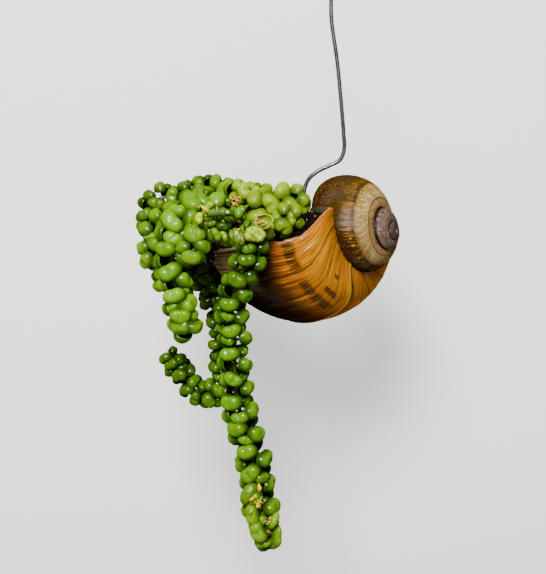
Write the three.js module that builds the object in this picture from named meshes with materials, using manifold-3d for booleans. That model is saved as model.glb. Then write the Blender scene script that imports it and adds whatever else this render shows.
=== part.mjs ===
// A string of nickels growing in a snail shell that hangs from one bent wire.
// Millimetres, +Z up, +X towards the shell's spire, -Y towards the plant's front.
// The origin is the inside of the hook's crown, where the wire hangs.

import * as THREE from 'three';
import { mergeVertices } from 'three/addons/utils/BufferGeometryUtils.js';
import Module from 'manifold-3d';

const wasm = await Module();
wasm.setup();

// Snail shell: one tube that widens by GROWTH each turn as it winds down its axis.
// The section is a tilted ellipse, in fractions of the scale that the tube has reached.
const SHELL_SCALE = 71;
const GROWTH = 2.25;
const TURNS = 3.5;
const STEPS_PER_TURN = 20;
const SECTION_RADIUS = 0.282;
const SECTION_DROP = 0.647;
const SECTION_HALF_WIDTH = 0.268;
const SECTION_HALF_LENGTH = 0.371;
const SECTION_TILT = THREE.MathUtils.degToRad(-15);
const SECTION_SIDES = 16;
const WALL = 0.018;
const CALLUS = 0.012;
const HOLLOW_STATIONS = 14;

// The tip of the spire is worn blunt: it is drawn in by APEX_WEAR, which fades over APEX_REACH.
const APEX = new THREE.Vector3(36.8, -22, -99.4);
const APEX_WEAR = 4.5;
const APEX_REACH = 7;
const AXIS_YAW = THREE.MathUtils.degToRad(34);
const AXIS_RISE = THREE.MathUtils.degToRad(2.8);

// The lip runs a little short of the front at the base and climbs to a point at the suture.
const LIP_FRONT = THREE.MathUtils.degToRad(-3);
const LIP_BASE = THREE.MathUtils.degToRad(-4.75);
const LIP_SUTURE = THREE.MathUtils.degToRad(37.8);
const LIP_SHARPNESS = 5;
const LIP_EDGE = 0.88;
const LIP_RINGS = 4;
const PAST_LIP = THREE.MathUtils.degToRad(6);

// Central pillar as radii and depths below the apex, and the first whorl at the tip of the spire.
const PILLAR = [[0, 5.5], [0.9, 5.5], [5.4, 30], [0, 34]];
const PILLAR_SIDES = 12;
const NUCLEUS_RADIUS = 1.9;

// Potting mix
const SOIL_CLEARANCE = 0.45;
const SOIL_BELOW_LIP = THREE.MathUtils.degToRad(4);
const SOIL_STATIONS = 6;
const HOLE_CLEARANCE = 0.5;
const HOLE_DEPTH = 10;
const HOLE_SIDES = 5;

// Wire
const WIRE_RADIUS = 0.8;
const WIRE_SIDES = 6;
const WIRE_STEPS = 64;
const HOOK_RADIUS = 8.5;
const HOOK_TAIL = 6;
const HOOK_FLARE = 1;
const COLUMELLA_AXIAL = 42;
const COLUMELLA_WRAP = THREE.MathUtils.degToRad(165);
const SEAT_GAP = 0.35;

// Stems and leaves
const STEM_RADIUS = 0.9;
const STEM_SIDES = 3;
const BARE_STEM_SIDES = 4;
const SCAR_SPACING = 6;
const SCAR_RADIUS = 1.3;
const FIRST_SCAR = 2;
const FIRST_LEAF = 9;
const LEAF_CLEARANCE = 0.35;
const WIDTH_SPREAD = 0.12;
const TURN_SPREAD = 0.5;
const LEAN_SPREAD = 0.35;
const TIP_LEAN = 1.1;
const CROWDED_SHARE = 0.8;
const FRAME_STEPS = 200;

// Flower buds
const BUD_RADIUS = 1.1;
const BUD_TURN = 1.7;
const BUD_STAGGER = 0.8;

// Leaf shape, in half widths of the leaf; the offset is in widths.
const LEAF_SIDES = 6;
const LEAF_SHORTNESS = 0.82;
const LEAF_NOTCH = 0.34;
const NOTCH_SPREAD = 0.5;
const LEAF_RIM = -0.18;
const LEAF_SHOULDER = 0.28;
const SHOULDER_SHARE = 0.86;
const LEAF_TOP = 0.62;
const LEAF_OFFSET = 0.41;

// What is tried for a leaf in turn: an angle round the stem, and a share of its full width.
const LEAF_CHOICES = [
  [0, 1], [0.5, 1], [-0.5, 1], [0, 0.85], [0.5, 0.85], [-0.5, 0.85], [0, 0.7], [0.6, 0.7], [-0.6, 0.7],
];

const COLOUR = {
  shell: 0xa8752c,
  soil: 0x17110d,
  wire: 0x7d8184,
  leaf: 0x7fa81c,
  deepLeaf: 0x4f8a12,
  paleLeaf: 0xa4c63c,
  stem: 0x6d8a35,
};

const TURN = 2 * Math.PI;

// Seeded random numbers from 0 to 1.
function randomFrom(seed) {
  let state = seed;
  return () => {
    state = (state * 1664525 + 1013904223) % 4294967296;
    return state / 4294967296;
  };
}

// Indexed triangles as a closed solid for joining and cutting.
function solidOf(geometry) {
  const bare = geometry.clone();
  bare.deleteAttribute('normal');
  bare.deleteAttribute('uv');
  const merged = mergeVertices(bare, 1e-5);
  return new wasm.Manifold(new wasm.Mesh({
    numProp: 3,
    vertProperties: Float32Array.from(merged.attributes.position.array),
    triVerts: Uint32Array.from(merged.index.array),
  }));
}

function geometryOf(solid) {
  const mesh = solid.getMesh();
  const geometry = new THREE.BufferGeometry();
  geometry.setAttribute('position', new THREE.BufferAttribute(mesh.vertProperties, 3));
  geometry.setIndex(new THREE.BufferAttribute(mesh.triVerts, 1));
  geometry.computeVertexNormals();
  return geometry;
}

function unionOf(solids) {
  let layer = solids;
  while (layer.length > 1) {
    const next = [];
    for (let i = 0; i < layer.length; i += 2) {
      next.push(i + 1 < layer.length ? layer[i].add(layer[i + 1]) : layer[i]);
    }
    layer = next;
  }
  return layer[0];
}

function meshOf(name, solid, color, roughness, metalness = 0) {
  const material = new THREE.MeshStandardMaterial({ color, roughness, metalness });
  const mesh = new THREE.Mesh(geometryOf(solid), material);
  mesh.name = name;
  return mesh;
}

// A closed skin over a row of rings with equal point counts, with a fan of triangles at each end.
function loftSolid(rings, startCentre, endCentre) {
  const sides = rings[0].length;
  const points = [...rings.flat(), startCentre, endCentre];
  const last = (rings.length - 1) * sides;
  const index = [];
  for (let i = 0; i < sides; i++) {
    const j = (i + 1) % sides;
    for (let r = 0; r < rings.length - 1; r++) {
      const a = r * sides;
      const b = a + sides;
      index.push(a + i, a + j, b + j, a + i, b + j, b + i);
    }
    index.push(points.length - 2, j, i);
    index.push(points.length - 1, last + i, last + j);
  }
  const geometry = new THREE.BufferGeometry();
  geometry.setAttribute('position', new THREE.Float32BufferAttribute(points.flatMap((p) => p.toArray()), 3));
  geometry.setIndex(index);
  const solid = solidOf(geometry);
  if (solid.volume() > 0) return solid;
  geometry.setIndex(index.reverse());
  return solidOf(geometry);
}

// Round bar along a curve.
function rod(curve, radius, sides, steps) {
  const outline = new THREE.Shape(Array.from({ length: sides }, (_, i) => {
    const angle = (i / sides) * TURN;
    return new THREE.Vector2(radius * Math.cos(angle), radius * Math.sin(angle));
  }));
  return solidOf(new THREE.ExtrudeGeometry(outline, { steps, extrudePath: curve, bevelEnabled: false }));
}

// Directions of the shell: along its axis to the apex, to the front, and up.
const toApex = new THREE.Vector3(
  Math.cos(AXIS_YAW) * Math.cos(AXIS_RISE),
  -Math.sin(AXIS_YAW) * Math.cos(AXIS_RISE),
  Math.sin(AXIS_RISE),
);
const toFront = new THREE.Vector3(-Math.sin(AXIS_YAW), -Math.cos(AXIS_YAW), 0);
const toUp = new THREE.Vector3().crossVectors(toFront, toApex);

// A point of the shell from its turn angle, its distance from the axis and its depth below the apex.
function shellPoint(angle, radius, depth) {
  const worn = depth + APEX_WEAR * Math.exp(-depth / APEX_REACH);
  return APEX.clone()
    .addScaledVector(toApex, -worn)
    .addScaledVector(toFront, radius * Math.cos(angle))
    .addScaledVector(toUp, radius * Math.sin(angle));
}

const scaleAt = (angle) => SHELL_SCALE * GROWTH ** (angle / TURN);

// Section ellipse as fractions of the scale; grow makes it larger all round.
function sectionPoint(v, grow = 0) {
  const across = (SECTION_HALF_WIDTH + grow) * Math.cos(v);
  const along = (SECTION_HALF_LENGTH + grow) * Math.sin(v);
  return new THREE.Vector2(
    SECTION_RADIUS + across * Math.cos(SECTION_TILT) - along * Math.sin(SECTION_TILT),
    SECTION_DROP + across * Math.sin(SECTION_TILT) + along * Math.cos(SECTION_TILT),
  );
}

// Position round the section ellipse, and how far out it lies, with 1 on the ellipse.
function sectionPolar(point, grow = 0) {
  const x = point.x - SECTION_RADIUS;
  const y = point.y - SECTION_DROP;
  const across = (x * Math.cos(SECTION_TILT) + y * Math.sin(SECTION_TILT)) / (SECTION_HALF_WIDTH + grow);
  const along = (y * Math.cos(SECTION_TILT) - x * Math.sin(SECTION_TILT)) / (SECTION_HALF_LENGTH + grow);
  return { v: Math.atan2(along, across), reach: Math.hypot(across, along) };
}

function lipAngle(v) {
  const towardsBase = Math.max(0, Math.sin(v));
  const towardsSuture = Math.max(0, -Math.sin(v));
  return LIP_FRONT + LIP_BASE * towardsBase + LIP_SUTURE * towardsSuture ** LIP_SHARPNESS;
}

// True where a point of the shell's section plane lies in the turn before.
function inTurnBefore(point) {
  return sectionPolar(point.clone().multiplyScalar(GROWTH), CALLUS * GROWTH).reach < 1;
}

// Outline of the hollow: the section less its wall, cut back by the turn before it.
function hollowOutline(freeSides, coveredSides) {
  const search = 720;
  let first = -Math.PI / 2;
  while (inTurnBefore(sectionPoint(first, -WALL))) first += TURN / search;
  let last = first;
  while (!inTurnBefore(sectionPoint(last, -WALL))) last += TURN / search;
  const outline = [];
  for (let i = 0; i <= freeSides; i++) {
    outline.push(sectionPoint(first + ((last - first) * i) / freeSides, -WALL));
  }
  const before = (point) => sectionPolar(point.clone().multiplyScalar(GROWTH), CALLUS * GROWTH).v;
  const from = before(outline[freeSides]);
  let to = before(outline[0]);
  if (to > from) to -= TURN;
  for (let i = 1; i < coveredSides; i++) {
    const v = from + ((to - from) * i) / coveredSides;
    outline.push(sectionPoint(v, CALLUS * GROWTH).divideScalar(GROWTH));
  }
  return outline;
}

// The outline moved inwards by a distance in fractions of the scale.
function insetOutline(outline, distance) {
  return outline.map((point, i) => {
    const before = outline[(i + outline.length - 1) % outline.length];
    const after = outline[(i + 1) % outline.length];
    const run = after.clone().sub(before).normalize();
    return point.clone().add(new THREE.Vector2(-run.y, run.x).multiplyScalar(distance));
  });
}

function ringAt(angleOf, outlineAt) {
  const outline = outlineAt(scaleAt(angleOf(0)));
  return outline.map((point) => {
    const angle = angleOf(sectionPolar(point).v);
    const scale = scaleAt(angle);
    return shellPoint(angle, point.x * scale, point.y * scale);
  });
}

function centreAt(angle) {
  const scale = scaleAt(angle);
  return shellPoint(angle, SECTION_RADIUS * scale, SECTION_DROP * scale);
}

// Angles from one turn angle to another in equal steps.
function anglesBetween(from, to, steps) {
  return Array.from({ length: steps + 1 }, (_, i) => from + ((to - from) * i) / steps);
}

function whorlOutline(shrink = 1) {
  return Array.from({ length: SECTION_SIDES }, (_, i) => {
    const point = sectionPoint((i / SECTION_SIDES) * TURN);
    return new THREE.Vector2(
      SECTION_RADIUS + (point.x - SECTION_RADIUS) * shrink,
      SECTION_DROP + (point.y - SECTION_DROP) * shrink,
    );
  });
}

// Rings of the tube at numbered stations, counted back from the front of the mouth.
function ringsBetween(firstStation, lastStation, outlineAt) {
  const rings = [];
  for (let station = firstStation; station >= lastStation; station--) {
    const angle = (-station * TURN) / STEPS_PER_TURN;
    rings.push(ringAt(() => angle, outlineAt));
  }
  return rings;
}

// Rings that fan out from the first station to the lip, or to any other end near it.
function ringsToLip(endAngle, outlineAt) {
  const from = -TURN / STEPS_PER_TURN;
  return Array.from({ length: LIP_RINGS }, (_, i) => (
    ringAt((v) => THREE.MathUtils.lerp(from, endAngle(v), (i + 1) / LIP_RINGS), outlineAt)
  ));
}

const stationCentre = (station) => centreAt((-station * TURN) / STEPS_PER_TURN);

// Half turns of the tube, each overlapping the next by one step, so that none crosses itself.
function whorls() {
  const half = STEPS_PER_TURN / 2;
  const last = TURNS * STEPS_PER_TURN;
  const halves = [];
  for (let end = half; end < last; end += half) {
    const start = Math.min(end + half + 1, last);
    const rings = ringsBetween(start, end, () => whorlOutline());
    halves.push(loftSolid(rings, stationCentre(start), stationCentre(end)));
  }
  return halves;
}

// The last half turn, which ends at the lip.
function lipWhorl() {
  const start = STEPS_PER_TURN / 2 + 1;
  const rings = ringsBetween(start, 1, () => whorlOutline());
  rings.push(...ringsToLip(lipAngle, () => whorlOutline()));
  rings.push(ringAt(lipAngle, () => whorlOutline(LIP_EDGE)));
  return loftSolid(rings, stationCentre(start), centreAt(0));
}

// Central pillar, which fills the narrow hole along the axis.
function columella() {
  const profile = PILLAR.map(([radius, depth]) => new THREE.Vector2(radius, -depth));
  const lathe = new THREE.LatheGeometry(profile, PILLAR_SIDES);
  lathe.applyMatrix4(new THREE.Matrix4().makeBasis(toFront, toApex, toUp.clone().negate()));
  lathe.translate(APEX.x, APEX.y, APEX.z);
  return solidOf(lathe);
}

// Rounded first whorl at the tip of the spire.
function nucleus() {
  const start = -TURNS * TURN;
  const ball = new THREE.SphereGeometry(NUCLEUS_RADIUS, 12, 8);
  const place = centreAt(start).lerp(shellPoint(start, 0, SECTION_DROP * scaleAt(start)), 0.5);
  ball.translate(place.x, place.y, place.z);
  return solidOf(ball);
}

const hollow = hollowOutline(13, 5);

// The hollow of the shell, or the potting mix in it when it is inset.
function hollowSolid(startStation, endAngle, clearance) {
  const outlineAt = (scale) => insetOutline(hollow, clearance / scale);
  const rings = [...ringsBetween(startStation, 1, outlineAt), ...ringsToLip(endAngle, outlineAt)];
  return loftSolid(rings, stationCentre(startStation), centreAt(endAngle(0)));
}

function shellSolid() {
  const body = unionOf([lipWhorl(), ...whorls(), columella(), nucleus()]);
  return body.subtract(hollowSolid(HOLLOW_STATIONS, (v) => lipAngle(v) + PAST_LIP, 0));
}

// Distance of the hollow's inner side from the axis, at a turn angle and a depth below the apex.
function columellaRadius(angle, depth) {
  const scale = scaleAt(angle);
  const level = depth / scale;
  let nearest = Infinity;
  hollow.forEach((a, i) => {
    const b = hollow[(i + 1) % hollow.length];
    if ((a.y - level) * (b.y - level) <= 0 && a.y !== b.y) {
      nearest = Math.min(nearest, a.x + ((b.x - a.x) * (level - a.y)) / (b.y - a.y));
    }
  });
  return nearest * scale;
}

// The wire: a hook at the top, a long leg with a crank, then a small hook under the pillar.
function wireCurve() {
  const bend = HOOK_RADIUS + WIRE_RADIUS;
  const points = [new THREE.Vector3(-bend - HOOK_FLARE, 0, -HOOK_RADIUS - HOOK_TAIL)];
  for (const degrees of [186, 160, 134, 108, 82, 56, 30, 6]) {
    const angle = THREE.MathUtils.degToRad(degrees);
    points.push(new THREE.Vector3(bend * Math.cos(angle), 0, bend * Math.sin(angle) - HOOK_RADIUS));
  }
  const leg = [
    [bend, -15], [bend + 0.2, -22], [11.6, -36.5], [13.1, -51], [14.2, -64], [14.4, -69.5],
    [13, -73.3], [9.2, -75.5], [4.8, -77.6], [1.2, -80.6], [-0.4, -84.5],
  ];
  leg.forEach(([x, z]) => points.push(new THREE.Vector3(x, 0, z)));
  points.push(new THREE.Vector3(-0.6, -0.8, -91));
  const seat = WIRE_RADIUS + SEAT_GAP;
  for (const angle of anglesBetween(0.3, -COLUMELLA_WRAP, 9)) {
    const radius = columellaRadius(Math.min(angle, 0), COLUMELLA_AXIAL) + seat;
    points.push(shellPoint(angle, radius, COLUMELLA_AXIAL));
  }
  return new THREE.CatmullRomCurve3(points, false, 'centripetal');
}

const wirePath = wireCurve();

// Stem routes: the first point stands in the potting mix. Leaf widths are those at the root and at the
// tip, spacing is the distance from pair to pair, and crowdedTip is the length of tip with close leaves.
// Flowers are places along the stem, from 0 to 1.
const STRANDS = {
  strand_front: {
    route: [
      [-17, -21.5, -109], [-17.5, -25.5, -101], [-18, -32, -98], [-19, -38, -101], [-20.5, -39, -109],
      [-24, -38.5, -114.5], [-25.5, -38, -121], [-26.5, -37.5, -128], [-25.5, -37, -138.5],
      [-25.6, -37, -147.5], [-24.5, -37, -158], [-22.6, -37, -167], [-20, -37, -175.5],
      [-18.2, -37, -183], [-17.3, -37, -191], [-15.7, -37, -201], [-13.9, -37, -208.5],
    ],
    leaf: 7.4, tipLeaf: 8.4, spacing: 4.3, crowdedTip: 12, flowers: [0.13, 0.92],
    colour: COLOUR.deepLeaf, seed: 11,
  },
  strand_rear: {
    route: [
      [-25.9, -6.5, -110], [-28.5, -5.5, -102.5], [-33, -3, -100.5], [-38, -0.5, -101], [-41.8, 2, -105.5],
      [-41.3, 2, -113], [-38.2, 0, -119], [-35.4, -3, -124.5], [-32.8, -5.5, -130], [-31.3, -8, -138],
      [-31, -10, -147], [-31.2, -10.5, -154.5], [-34.3, -10.5, -160], [-40.2, -10.5, -159.8],
      [-44.2, -10.5, -154.6], [-48, -10.5, -149.6], [-49.8, -10.5, -147],
    ],
    leaf: 7, tipLeaf: 6.4, spacing: 4.15, crowdedTip: 0, flowers: [], colour: COLOUR.deepLeaf, seed: 23,
  },
  strand_left: {
    route: [
      [-24.7, -12.2, -109], [-27, -14, -100.5], [-33, -17, -93], [-40, -21.5, -91.5], [-45.5, -26, -95],
      [-47.8, -28, -103], [-47.6, -28.5, -111], [-46.6, -28.5, -119.5], [-44.9, -28.5, -127],
      [-43.2, -28.5, -133.4],
    ],
    leaf: 9, tipLeaf: 7.4, spacing: 4.2, crowdedTip: 0, flowers: [], colour: COLOUR.leaf, seed: 37,
  },
  strand_left_outer: {
    route: [
      [-28, -9, -109.5], [-30.5, -9.5, -101.5], [-37, -11, -96], [-45, -12.5, -94.5], [-52, -14, -97],
      [-55.6, -15, -102.5], [-54.8, -15.5, -109.5], [-51.4, -16, -116],
    ],
    leaf: 8.6, tipLeaf: 7.8, spacing: 4.2, crowdedTip: 0, flowers: [], colour: COLOUR.leaf, seed: 41,
  },
  strand_top_left: {
    route: [
      [-20.6, -3.8, -109], [-23, -3, -101], [-29, -1.5, -93.5], [-37, -1, -89.5], [-45, -1.5, -87.3],
      [-53, -2, -87.3], [-57.2, -2.5, -90.8], [-58.6, -3, -97],
    ],
    leaf: 7.6, tipLeaf: 7.4, spacing: 3.9, crowdedTip: 0, flowers: [], colour: COLOUR.leaf, seed: 43,
  },
  strand_top_middle: {
    route: [
      [-14, -3.3, -108], [-15.5, -1.5, -99], [-20, 2, -91.5], [-27, 5, -87.5], [-35, 6.5, -84.5],
      [-42, 7, -83.5],
    ],
    leaf: 7.8, tipLeaf: 7, spacing: 3.9, crowdedTip: 0, flowers: [], colour: COLOUR.leaf, seed: 53,
  },
  strand_right: {
    route: [
      [-14.6, -12.1, -108], [-17, -12.5, -99], [-18, -12.5, -93.5], [-14.5, -13.5, -90], [-8, -13.5, -89],
      [-4.5, -12.5, -88.8], [-2.2, -11.5, -89.6],
    ],
    leaf: 9, tipLeaf: 8.6, spacing: 3.8, crowdedTip: 0, flowers: [], colour: COLOUR.paleLeaf, seed: 67,
  },
  strand_right_low: {
    route: [
      [-12, -19.5, -107], [-12.3, -21.2, -99.8], [-10, -22.8, -96], [-7, -23, -94.8], [-3.6, -22.2, -94],
    ],
    leaf: 8.4, tipLeaf: 7.8, spacing: 3.2, crowdedTip: 0, flowers: [], colour: COLOUR.paleLeaf, seed: 71,
  },
  strand_middle: {
    route: [
      [-23, -18.2, -109], [-25, -21.2, -100.5], [-28.5, -24.5, -96.5], [-33.5, -27.5, -96], [-38, -30.5, -99],
      [-40, -32, -104.5], [-40, -32.5, -108],
    ],
    leaf: 8.2, tipLeaf: 7.4, spacing: 3.8, crowdedTip: 0, flowers: [], colour: COLOUR.leaf, seed: 79,
  },
  strand_crown: {
    route: [
      [-10, -6.5, -107], [-11, -6, -98], [-14, -5.5, -90.5], [-19.5, -6, -86.5], [-26, -7, -85.2],
    ],
    leaf: 8, tipLeaf: 7.4, spacing: 3.6, crowdedTip: 0, flowers: [], colour: COLOUR.paleLeaf, seed: 97,
  },
};

// A stem that has lost its leaves and keeps the scars of their pairs.
const BARE_STEM = [
  [-21.5, -24.5, -106.5], [-22.3, -27, -99], [-24.5, -32.5, -93.5], [-29, -36.5, -92], [-35, -38, -92.5],
];
const BARE_STEM_FLOWERS = [0.5, 0.97];

function stemCurve(route) {
  const points = route.map((point) => new THREE.Vector3(...point));
  return new THREE.CatmullRomCurve3(points, false, 'centripetal');
}

// Bean-shaped leaf outline, notched where the stalk joins; unit half width.
function leafOutline(i) {
  const angle = (i / LEAF_SIDES) * TURN;
  const fromNotch = Math.min(angle, TURN - angle);
  const reach = 1 - LEAF_NOTCH * Math.exp(-((fromNotch / NOTCH_SPREAD) ** 2));
  return new THREE.Vector2(reach * Math.sin(angle), -LEAF_SHORTNESS * reach * Math.cos(angle));
}

// One thick domed leaf: its underside narrows to a stalk that ends on the stem's axis.
function leafSolid(leaf) {
  const half = leaf.width / 2;
  const at = (x, y, z) => leaf.centre.clone()
    .addScaledVector(leaf.across, x * half)
    .addScaledVector(leaf.along, y * half)
    .addScaledVector(leaf.outward, z * half);
  const rim = [];
  const shoulder = [];
  for (let i = 0; i < LEAF_SIDES; i++) {
    const p = leafOutline(i);
    rim.push(at(p.x, p.y, LEAF_RIM));
    shoulder.push(at(p.x * SHOULDER_SHARE, p.y * SHOULDER_SHARE, LEAF_SHOULDER));
  }
  return loftSolid([rim, shoulder], leaf.root, at(0, 0, LEAF_TOP));
}

// Points and directions at a place along a stem.
function stemFrame(curve, u) {
  if (!curve.frames) curve.frames = curve.computeFrenetFrames(FRAME_STEPS, false);
  const i = Math.round(u * FRAME_STEPS);
  const outwardAt = (angle) => curve.frames.normals[i].clone().multiplyScalar(Math.cos(angle))
    .addScaledVector(curve.frames.binormals[i], Math.sin(angle));
  return { point: curve.getPointAt(u), tangent: curve.frames.tangents[i], outwardAt };
}

// The leaf at a place along a stem, facing outwards at an angle round it and leaning along it.
function leafAt(curve, u, angle, lean, width) {
  const { point, tangent, outwardAt } = stemFrame(curve, u);
  const outward = outwardAt(angle).addScaledVector(tangent, lean).normalize();
  const across = new THREE.Vector3().crossVectors(tangent, outward).normalize();
  const along = new THREE.Vector3().crossVectors(outward, across);
  const centre = point.clone().addScaledVector(outward, STEM_RADIUS + LEAF_OFFSET * width);
  return { centre, outward, across, along, width, root: point };
}

const stemSteps = (curve, spacing) => Math.round(curve.getLength() / spacing);

// Places of the leaf pairs along a stem, from 0 to 1, with the share of the full width that they reach.
// They stand at the stem's steps, and in a crowded tip twice as close but smaller.
function pairPlaces(curve, strand) {
  const steps = stemSteps(curve, strand.spacing);
  const places = [];
  for (let i = Math.round(FIRST_LEAF / strand.spacing); i < steps; i++) {
    const crowded = (steps - i) * strand.spacing < strand.crowdedTip;
    places.push({ u: i / steps, share: crowded ? CROWDED_SHARE : 1 });
    if (crowded) places.push({ u: (i + 0.5) / steps, share: CROWDED_SHARE });
  }
  return places;
}

// Opposite pairs of leaves along a stem, each pair turned a quarter from the last. Where a leaf would
// meet another piece it turns aside or stays smaller, and where no place is clear it is left out.
function leavesAlong(curve, strand, obstacles) {
  const random = randomFrom(strand.seed);
  const places = pairPlaces(curve, strand);
  const leaves = [];
  places.forEach(({ u, share }, pair) => {
    const spread = 1 + WIDTH_SPREAD * (random() - 0.5);
    const full = share * spread * THREE.MathUtils.lerp(strand.leaf, strand.tipLeaf, u);
    for (const side of [0, Math.PI]) {
      const angle = pair * (Math.PI / 2) + side + TURN_SPREAD * (random() - 0.5);
      const lean = pair === places.length - 1 ? TIP_LEAN : LEAN_SPREAD * (random() - 0.35);
      const choice = LEAF_CHOICES.find(([turn, size]) => {
        const grown = leafSolid(leafAt(curve, u, angle + turn, lean, size * full + 2 * LEAF_CLEARANCE));
        return obstacles.every((obstacle) => grown.intersect(obstacle).isEmpty());
      });
      if (choice) leaves.push(leafSolid(leafAt(curve, u, angle + choice[0], lean, choice[1] * full)));
    }
  });
  return leaves;
}

// A tight cluster of small buds against a stem.
function flowerBuds(curve, u) {
  const { point, tangent, outwardAt } = stemFrame(curve, u);
  return [0, 1, 2, 3].map((i) => {
    const bud = new THREE.OctahedronGeometry(BUD_RADIUS);
    const place = point.clone().addScaledVector(outwardAt(i * BUD_TURN), STEM_RADIUS)
      .addScaledVector(tangent, BUD_STAGGER * (i % 2 - 0.5));
    bud.translate(place.x, place.y, place.z);
    return solidOf(bud);
  });
}

function stemSolid(curve, spacing, sides = STEM_SIDES) {
  return rod(curve, STEM_RADIUS, sides, stemSteps(curve, spacing));
}

function strandSolid(curve, strand, obstacles) {
  const buds = strand.flowers.flatMap((u) => flowerBuds(curve, u));
  return unionOf([stemSolid(curve, strand.spacing), ...buds, ...leavesAlong(curve, strand, obstacles)]);
}

function bareStemSolid(curve) {
  const scars = [];
  const steps = stemSteps(curve, SCAR_SPACING);
  for (let i = FIRST_SCAR; i < steps; i++) {
    const scar = new THREE.OctahedronGeometry(SCAR_RADIUS);
    const place = curve.getPointAt(i / steps);
    scar.translate(place.x, place.y, place.z);
    scars.push(solidOf(scar));
  }
  const buds = BARE_STEM_FLOWERS.flatMap((u) => flowerBuds(curve, u));
  return unionOf([stemSolid(curve, SCAR_SPACING, BARE_STEM_SIDES), ...scars, ...buds]);
}

// Potting mix with a plain hole for the wire and for each stem.
function soilSolid(stems) {
  const body = hollowSolid(SOIL_STATIONS, (v) => lipAngle(v) - SOIL_BELOW_LIP, SOIL_CLEARANCE);
  const holes = [rod(wirePath, WIRE_RADIUS + HOLE_CLEARANCE, WIRE_SIDES, WIRE_STEPS)];
  for (const curve of stems) {
    const length = curve.getLength();
    const rooted = [0, 0.5, 1].map((share) => curve.getPointAt((share * HOLE_DEPTH) / length));
    const below = rooted[0].clone().lerp(rooted[1], -0.1);
    const hole = new THREE.CatmullRomCurve3([below, ...rooted]);
    holes.push(rod(hole, STEM_RADIUS + HOLE_CLEARANCE, HOLE_SIDES, 2));
  }
  return body.subtract(unionOf(holes));
}

// All the pieces: each strand grows clear of the pieces before it and of the stems after it.
function build() {
  const names = Object.keys(STRANDS);
  const curves = names.map((name) => stemCurve(STRANDS[name].route));
  const bareCurve = stemCurve(BARE_STEM);
  const shell = shellSolid();
  const soil = soilSolid([...curves, bareCurve]);
  const wire = rod(wirePath, WIRE_RADIUS, WIRE_SIDES, WIRE_STEPS);
  const bareStem = bareStemSolid(bareCurve);

  const plant = new THREE.Group();
  plant.name = 'potted_string_of_nickels';
  plant.add(meshOf('shell', shell, COLOUR.shell, 0.4));
  plant.add(meshOf('potting_mix', soil, COLOUR.soil, 0.95));
  plant.add(meshOf('wire_hanger', wire, COLOUR.wire, 0.4, 0.8));
  plant.add(meshOf('bare_stem', bareStem, COLOUR.stem, 0.6));

  const grown = [shell, soil, wire, bareStem];
  const stems = curves.map((curve, i) => stemSolid(curve, STRANDS[names[i]].spacing));
  names.forEach((name, i) => {
    const obstacles = [...grown, ...stems.filter((stem, k) => k > i)];
    const strand = strandSolid(curves[i], STRANDS[name], obstacles);
    plant.add(meshOf(name, strand, STRANDS[name].colour, 0.45));
    grown.push(strand);
  });
  return plant;
}

export default build();
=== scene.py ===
"""Looks of a string of nickels that grows in the mouth of a hanging snail shell.

Lengths are in millimetres until a mesh is made, which is in metres. +Z is up, +X towards the
shell's spire, -Y towards the plant's front, and the origin is the inside of the hook's crown.
"""

import math
import random
from collections import namedtuple

import bmesh
import bpy
import numpy as np
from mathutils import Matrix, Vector
from mathutils.bvhtree import BVHTree
from mathutils.kdtree import KDTree


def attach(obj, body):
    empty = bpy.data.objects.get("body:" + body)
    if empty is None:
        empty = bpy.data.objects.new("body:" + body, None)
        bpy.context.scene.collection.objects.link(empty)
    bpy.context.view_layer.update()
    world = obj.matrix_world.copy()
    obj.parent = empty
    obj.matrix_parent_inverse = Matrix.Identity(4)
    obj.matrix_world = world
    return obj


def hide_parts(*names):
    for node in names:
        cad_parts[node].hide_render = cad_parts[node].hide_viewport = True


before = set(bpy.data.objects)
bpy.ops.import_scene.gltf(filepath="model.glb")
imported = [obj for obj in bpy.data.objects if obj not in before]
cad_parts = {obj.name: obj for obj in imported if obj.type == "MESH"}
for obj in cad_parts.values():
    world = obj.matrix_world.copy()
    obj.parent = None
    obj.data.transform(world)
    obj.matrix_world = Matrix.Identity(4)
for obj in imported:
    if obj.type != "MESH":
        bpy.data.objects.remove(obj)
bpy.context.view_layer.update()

TURN = 2 * math.pi
MM = 0.001

# ---------------------------------------------------------------- shell form

SHELL_SCALE = 71.0
GROWTH = 2.25
TURNS = 3.5
STEP_ANGLE = TURN / 20
SECTION_RADIUS = 0.282
SECTION_DROP = 0.647
SECTION_HALF_WIDTH = 0.268
SECTION_HALF_LENGTH = 0.371
SECTION_TILT = math.radians(-15)
WALL = 0.018
CALLUS = 0.012
APEX = np.array([36.8, -22.0, -99.4])
APEX_WEAR = 4.5
APEX_REACH = 7.0
AXIS_YAW = math.radians(34)
AXIS_RISE = math.radians(2.8)
PILLAR = [(0.0, 5.5), (0.9, 5.5), (5.4, 30.0), (0.0, 34.0)]
NUCLEUS_RADIUS = 1.9
NUCLEUS_SUNK = 0.9
PILLAR_SIDES = 24
SOIL_CLEARANCE = 0.45
SOIL_BELOW_LIP = math.radians(4)
SOIL_END = math.radians(-108)
SEAM = math.radians(-150)

TO_APEX = np.array([
    math.cos(AXIS_YAW) * math.cos(AXIS_RISE),
    -math.sin(AXIS_YAW) * math.cos(AXIS_RISE),
    math.sin(AXIS_RISE),
])
TO_FRONT = np.array([-math.sin(AXIS_YAW), -math.cos(AXIS_YAW), 0.0])
TO_UP = np.cross(TO_FRONT, TO_APEX)


def shell_point(angle, radius, depth):
    """Points of the shell from turn angle, distance from the axis and depth below the apex."""
    worn = depth + APEX_WEAR * np.exp(-depth / APEX_REACH)
    return (APEX - worn[..., None] * TO_APEX
            + (radius * np.cos(angle))[..., None] * TO_FRONT
            + (radius * np.sin(angle))[..., None] * TO_UP)


def scale_at(angle):
    return SHELL_SCALE * GROWTH ** (angle / TURN)


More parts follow.
